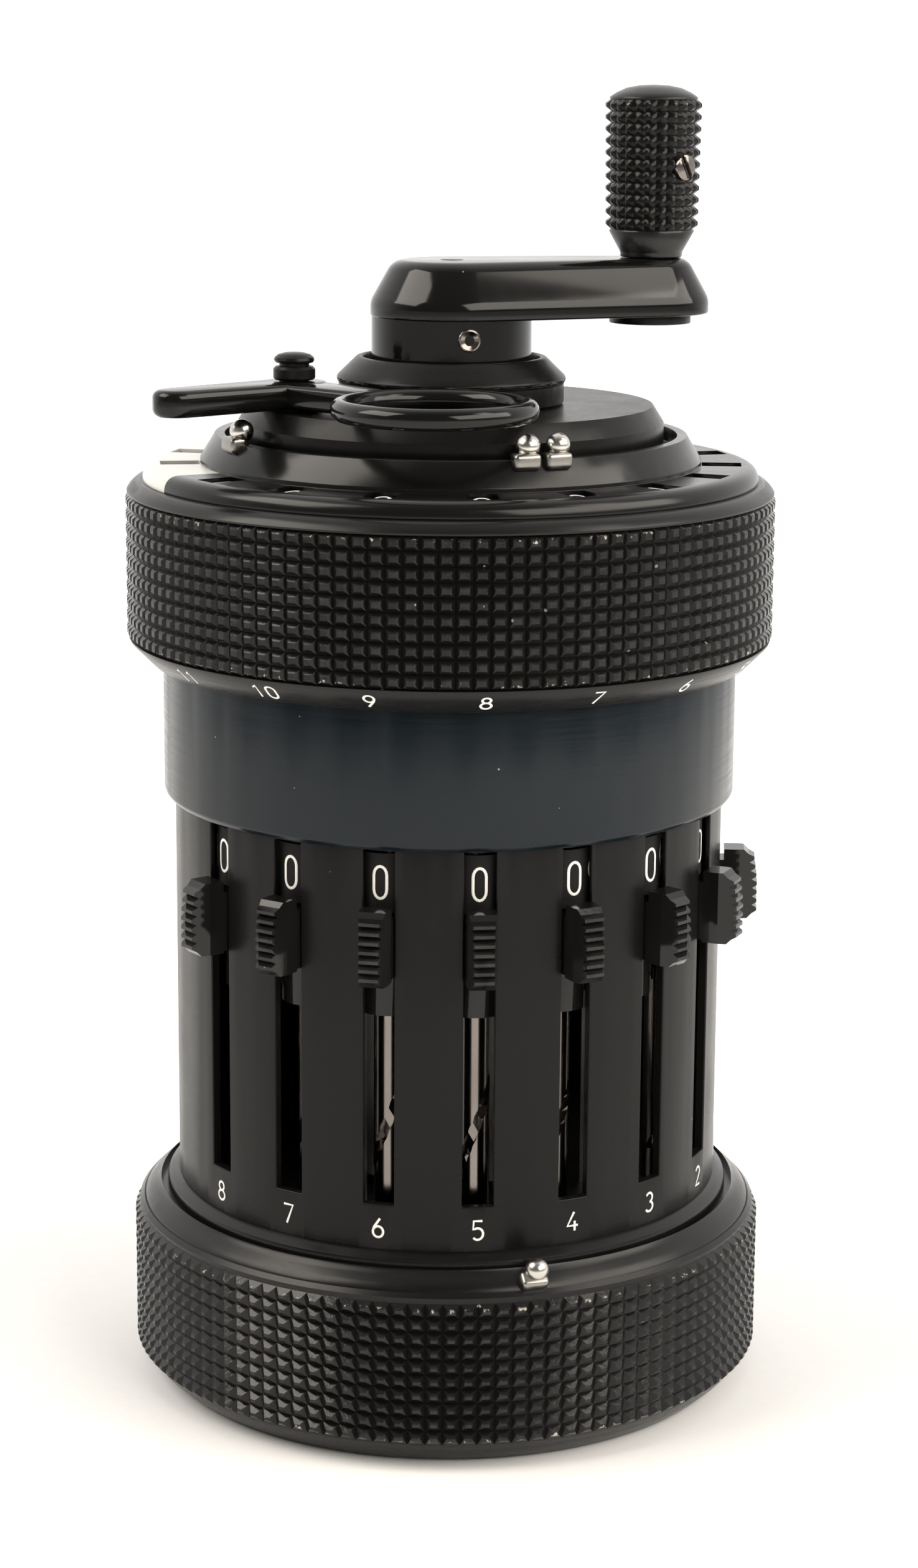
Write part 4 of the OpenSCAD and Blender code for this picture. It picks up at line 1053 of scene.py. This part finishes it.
class CALCULATOR_OT_crank(BuildStep, bpy.types.Operator):
    """Hub and rounded arm of the crank, with its cross pin and shaft end"""

    bl_idname = "calculator.crank"
    bl_label = "Crank"
    pin_angle = -3.6
    pin_height = 87.3 * MM

    def execute(self, context):
        low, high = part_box("crank_arm")
        throw = JOINTS["handle_spin"]["pos_m"][0]
        hub, end, top = -low.x, high.x - throw, high.z
        under, edge, slope = top - 4.5 * MM, top - 3.3 * MM, 1.85 * MM
        touch = math.degrees(math.acos((hub - end) / throw))
        outline = arc(0, 0, hub, hub, touch, 360 - touch, 30) + arc(throw, 0, end, end, -touch, touch, 30)
        bm = bmesh.new()
        crown = prism(bm, outline, under, edge)
        bmesh.ops.inset_region(bm, faces=crown, thickness=slope, depth=top - edge, use_even_offset=True)
        for level, rounding in ((under, 0.2), (edge, 0.4), (top, 0.8)):
            rim = [line for line in bm.edges if all(abs(vert.co.z - level) < TOUCH for vert in line.verts)]
            round_edges(bm, rim, rounding * MM, 5)
        waist = hub - 0.1 * MM
        turned(bm, [(0, low.z)] + points(waist, low.z, (-0.1, 0), (0, 0.1)) + points(waist, under, (0, 0.3))
               + points(0, under, (0, 0.3)), 72, Matrix())
        new_piece("crank_body", bm, finish("black_gloss"), "crank", "crank_arm")

        pin = bmesh.new()
        for side in (1, -1):
            outward = side * facing(self.pin_angle)
            spot = outward * waist + Vector((0, 0, self.pin_height))
            turned(pin, points(0, 0, (0, -0.1), (0.3, -0.06), (0.62, 0.08), (0.76, 0.14), (0.86, 0.12),
                               (0.92, 0.02), (0.92, -0.8), (0, -0.8)), 32, seat_on(spot, outward))
        new_piece("hub_pin", pin, finish("setting_metal"), "crank")

        shaft = bmesh.new()
        turned(shaft, points(0, 0, (0, 0.07), (0.8, 0.06), (0.94, 0.02), (0.98, -0.3), (0, -0.3)), 32,
               Matrix.Translation((0, 0, top)))
        new_piece("shaft_end", shaft, finish("black_gloss"), "crank")
        return {"FINISHED"}


class CALCULATOR_OT_bottom_screws(BuildStep, bpy.types.Operator):
    """Three slotted screws of the bottom plate"""

    bl_idname = "calculator.bottom_screws"
    bl_label = "Bottom screws"
    orbit = 15
    height = 0.55 * MM

    def execute(self, context):
        screws = bmesh.new()
        for angle, slot in ((60, 18), (180, 53), (300, 89)):
            spot = facing(angle) * self.orbit * MM + Vector((0, 0, self.height))
            slotted_screw(screws, 1.12 * MM, 0.6 * MM, 0.34 * MM, seat_on(spot, (0, 0, -1), facing(slot)))
        new_piece("bottom_screws", screws, finish("steel"), "housing")
        return {"FINISHED"}


class CALCULATOR_OT_stage(BuildStep, bpy.types.Operator):
    """Pale floor, soft studio light and the camera"""

    bl_idname = "calculator.stage"
    bl_label = "Stage"
    right = Vector((0.959301, -0.282307, 0.006694))
    up = Vector((0.055261, 0.210923, 0.975939))
    ahead = Vector((0.276927, 0.935849, -0.217939))
    aim = Vector((0, 0, 0.07))
    light_distance = 0.55

    def execute(self, context):
        scene = context.scene
        sizes = scene.calculator_stage
        scene.view_settings.view_transform = "Standard"
        view = bpy.data.cameras.new("camera")
        view.sensor_fit = "VERTICAL"
        view.sensor_height = 36
        view.lens = sizes.lens
        view.clip_start = 0.01
        holder = put("camera", view)
        attitude = Matrix((self.right, self.up, -self.ahead)).transposed().to_4x4()
        holder.matrix_world = Matrix.Translation(Vector(sizes.eye)) @ attitude
        scene.camera = holder

        level = Vector((self.ahead.x, self.ahead.y, 0)).normalized()
        bm = bmesh.new()
        bmesh.ops.create_grid(bm, x_segments=2, y_segments=2, size=sizes.floor / 2)
        mesh = as_mesh("floor", bm)
        mesh.materials.append(self.paper(level))
        floor = put("floor", mesh)

        across = Vector((level.y, -level.x, 0))
        for name, turn, rise, width, height, power in (
                ("softbox_left", -75, 42, 0.38, 0.32, sizes.left_power),
                ("softbox_right", 58, 29, 0.7, 0.32, sizes.right_power),
                ("softbox_high", 71.5, 50, 0.13, 0.13, sizes.high_power)):
            light = bpy.data.lights.new(name, "AREA")
            light.shape = "RECTANGLE"
            light.size, light.size_y = width, height
            light.energy = power
            light.color = (1.0, 0.93, 0.84)
            turn, rise = math.radians(turn), math.radians(rise)
            flat = across * math.sin(turn) - level * math.cos(turn)
            toward = flat * math.cos(rise) + Vector((0, 0, math.sin(rise)))
            spot = toward * self.light_distance + self.aim
            look = (self.aim - spot).to_track_quat("-Z", "Y").to_matrix().to_4x4()
            put(name, light).matrix_world = Matrix.Translation(spot) @ look
        self.surround(scene, level, sizes.surround)
        return {"FINISHED"}

    def paper(self, level):
        """White paper floor with a faint tooth, lit a little more far behind the object."""
        made, tree, shader, coords = bare_finish("paper")
        tone = mix_colour(tree, noise(tree, coords, 900.0, 3.0), (0.9, 0.9, 0.895), (0.94, 0.94, 0.935))
        behind = vector_maths(tree, "DOT_PRODUCT", coords, level)
        tree.links.new(tone, shader.inputs["Base Color"])
        tree.links.new(ramp(tree, behind, 0.03, 0.6, 0.0, 0.55), shader.inputs["Emission Strength"])
        shader.inputs["Emission Color"].default_value = (1, 1, 1, 1)
        shader.inputs["Roughness"].default_value = 0.9
        shader.inputs["Specular IOR Level"].default_value = 0.1
        made.cycles.emission_sampling = "NONE"
        return made

    def surround(self, scene, level, brightness):
        """White behind and beside the object, dark towards the camera."""
        world = bpy.data.worlds.new("surround")
        world.use_nodes = True
        scene.world = world
        tree = world.node_tree
        backdrop = tree.nodes["Background"]
        coords = add_node(tree, "TexCoord").outputs["Generated"]
        behind = vector_maths(tree, "DOT_PRODUCT", coords, level)
        glow = ramp(tree, behind, -0.6, 0.5, 0.15, brightness, interpolation_type="SMOOTHSTEP")
        tree.links.new(glow, backdrop.inputs["Strength"])
        backdrop.inputs["Color"].default_value = (1, 0.985, 0.965, 1)


class CALCULATOR_PT_panel(bpy.types.Panel):
    """Pieces of the calculator, with their sizes and colours"""

    bl_idname = "CALCULATOR_PT_panel"
    bl_label = "Pocket calculator"
    bl_space_type = "VIEW_3D"
    bl_region_type = "UI"
    bl_category = "Calculator"

    def draw(self, context):
        for operator in OPERATORS:
            self.layout.operator(operator.bl_idname)
        for group in GROUPS:
            box = self.layout.box()
            settings = getattr(context.scene, group)
            for key in settings.bl_rna.properties.keys():
                if key not in {"rna_type", "name"}:
                    box.prop(settings, key)


GROUPS = {
    "calculator_grips": GripSizes, "calculator_numerals": NumeralSizes,
    "calculator_colours": FinishColours, "calculator_stage": StageSizes,
}
OPERATORS = (
    CALCULATOR_OT_dress_solids, CALCULATOR_OT_base_grip, CALCULATOR_OT_carriage_grip,
    CALCULATOR_OT_handle_grip, CALCULATOR_OT_crank, CALCULATOR_OT_clearing_ring, CALCULATOR_OT_markers,
    CALCULATOR_OT_casing_numerals, CALCULATOR_OT_setting_numerals,
    CALCULATOR_OT_dial_numerals, CALCULATOR_OT_bottom_screws, CALCULATOR_OT_stage,
)


def register():
    for group in GROUPS.values():
        bpy.utils.register_class(group)
    for name, group in GROUPS.items():
        setattr(bpy.types.Scene, name, PointerProperty(type=group))
    for operator in OPERATORS:
        bpy.utils.register_class(operator)
    bpy.utils.register_class(CALCULATOR_PT_panel)


def unregister():
    bpy.utils.unregister_class(CALCULATOR_PT_panel)
    for operator in reversed(OPERATORS):
        bpy.utils.unregister_class(operator)
    for name in GROUPS:
        delattr(bpy.types.Scene, name)
    for group in GROUPS.values():
        bpy.utils.unregister_class(group)


def main():
    register()
    bpy.ops.calculator.stage()
    bpy.ops.calculator.dress_solids()
    bpy.ops.calculator.base_grip()
    bpy.ops.calculator.carriage_grip()
    bpy.ops.calculator.handle_grip()
    bpy.ops.calculator.crank()
    bpy.ops.calculator.clearing_ring()
    bpy.ops.calculator.markers()
    bpy.ops.calculator.casing_numerals()
    bpy.ops.calculator.setting_numerals()
    bpy.ops.calculator.dial_numerals()
    bpy.ops.calculator.bottom_screws()


if __name__ == "__main__":
    main()
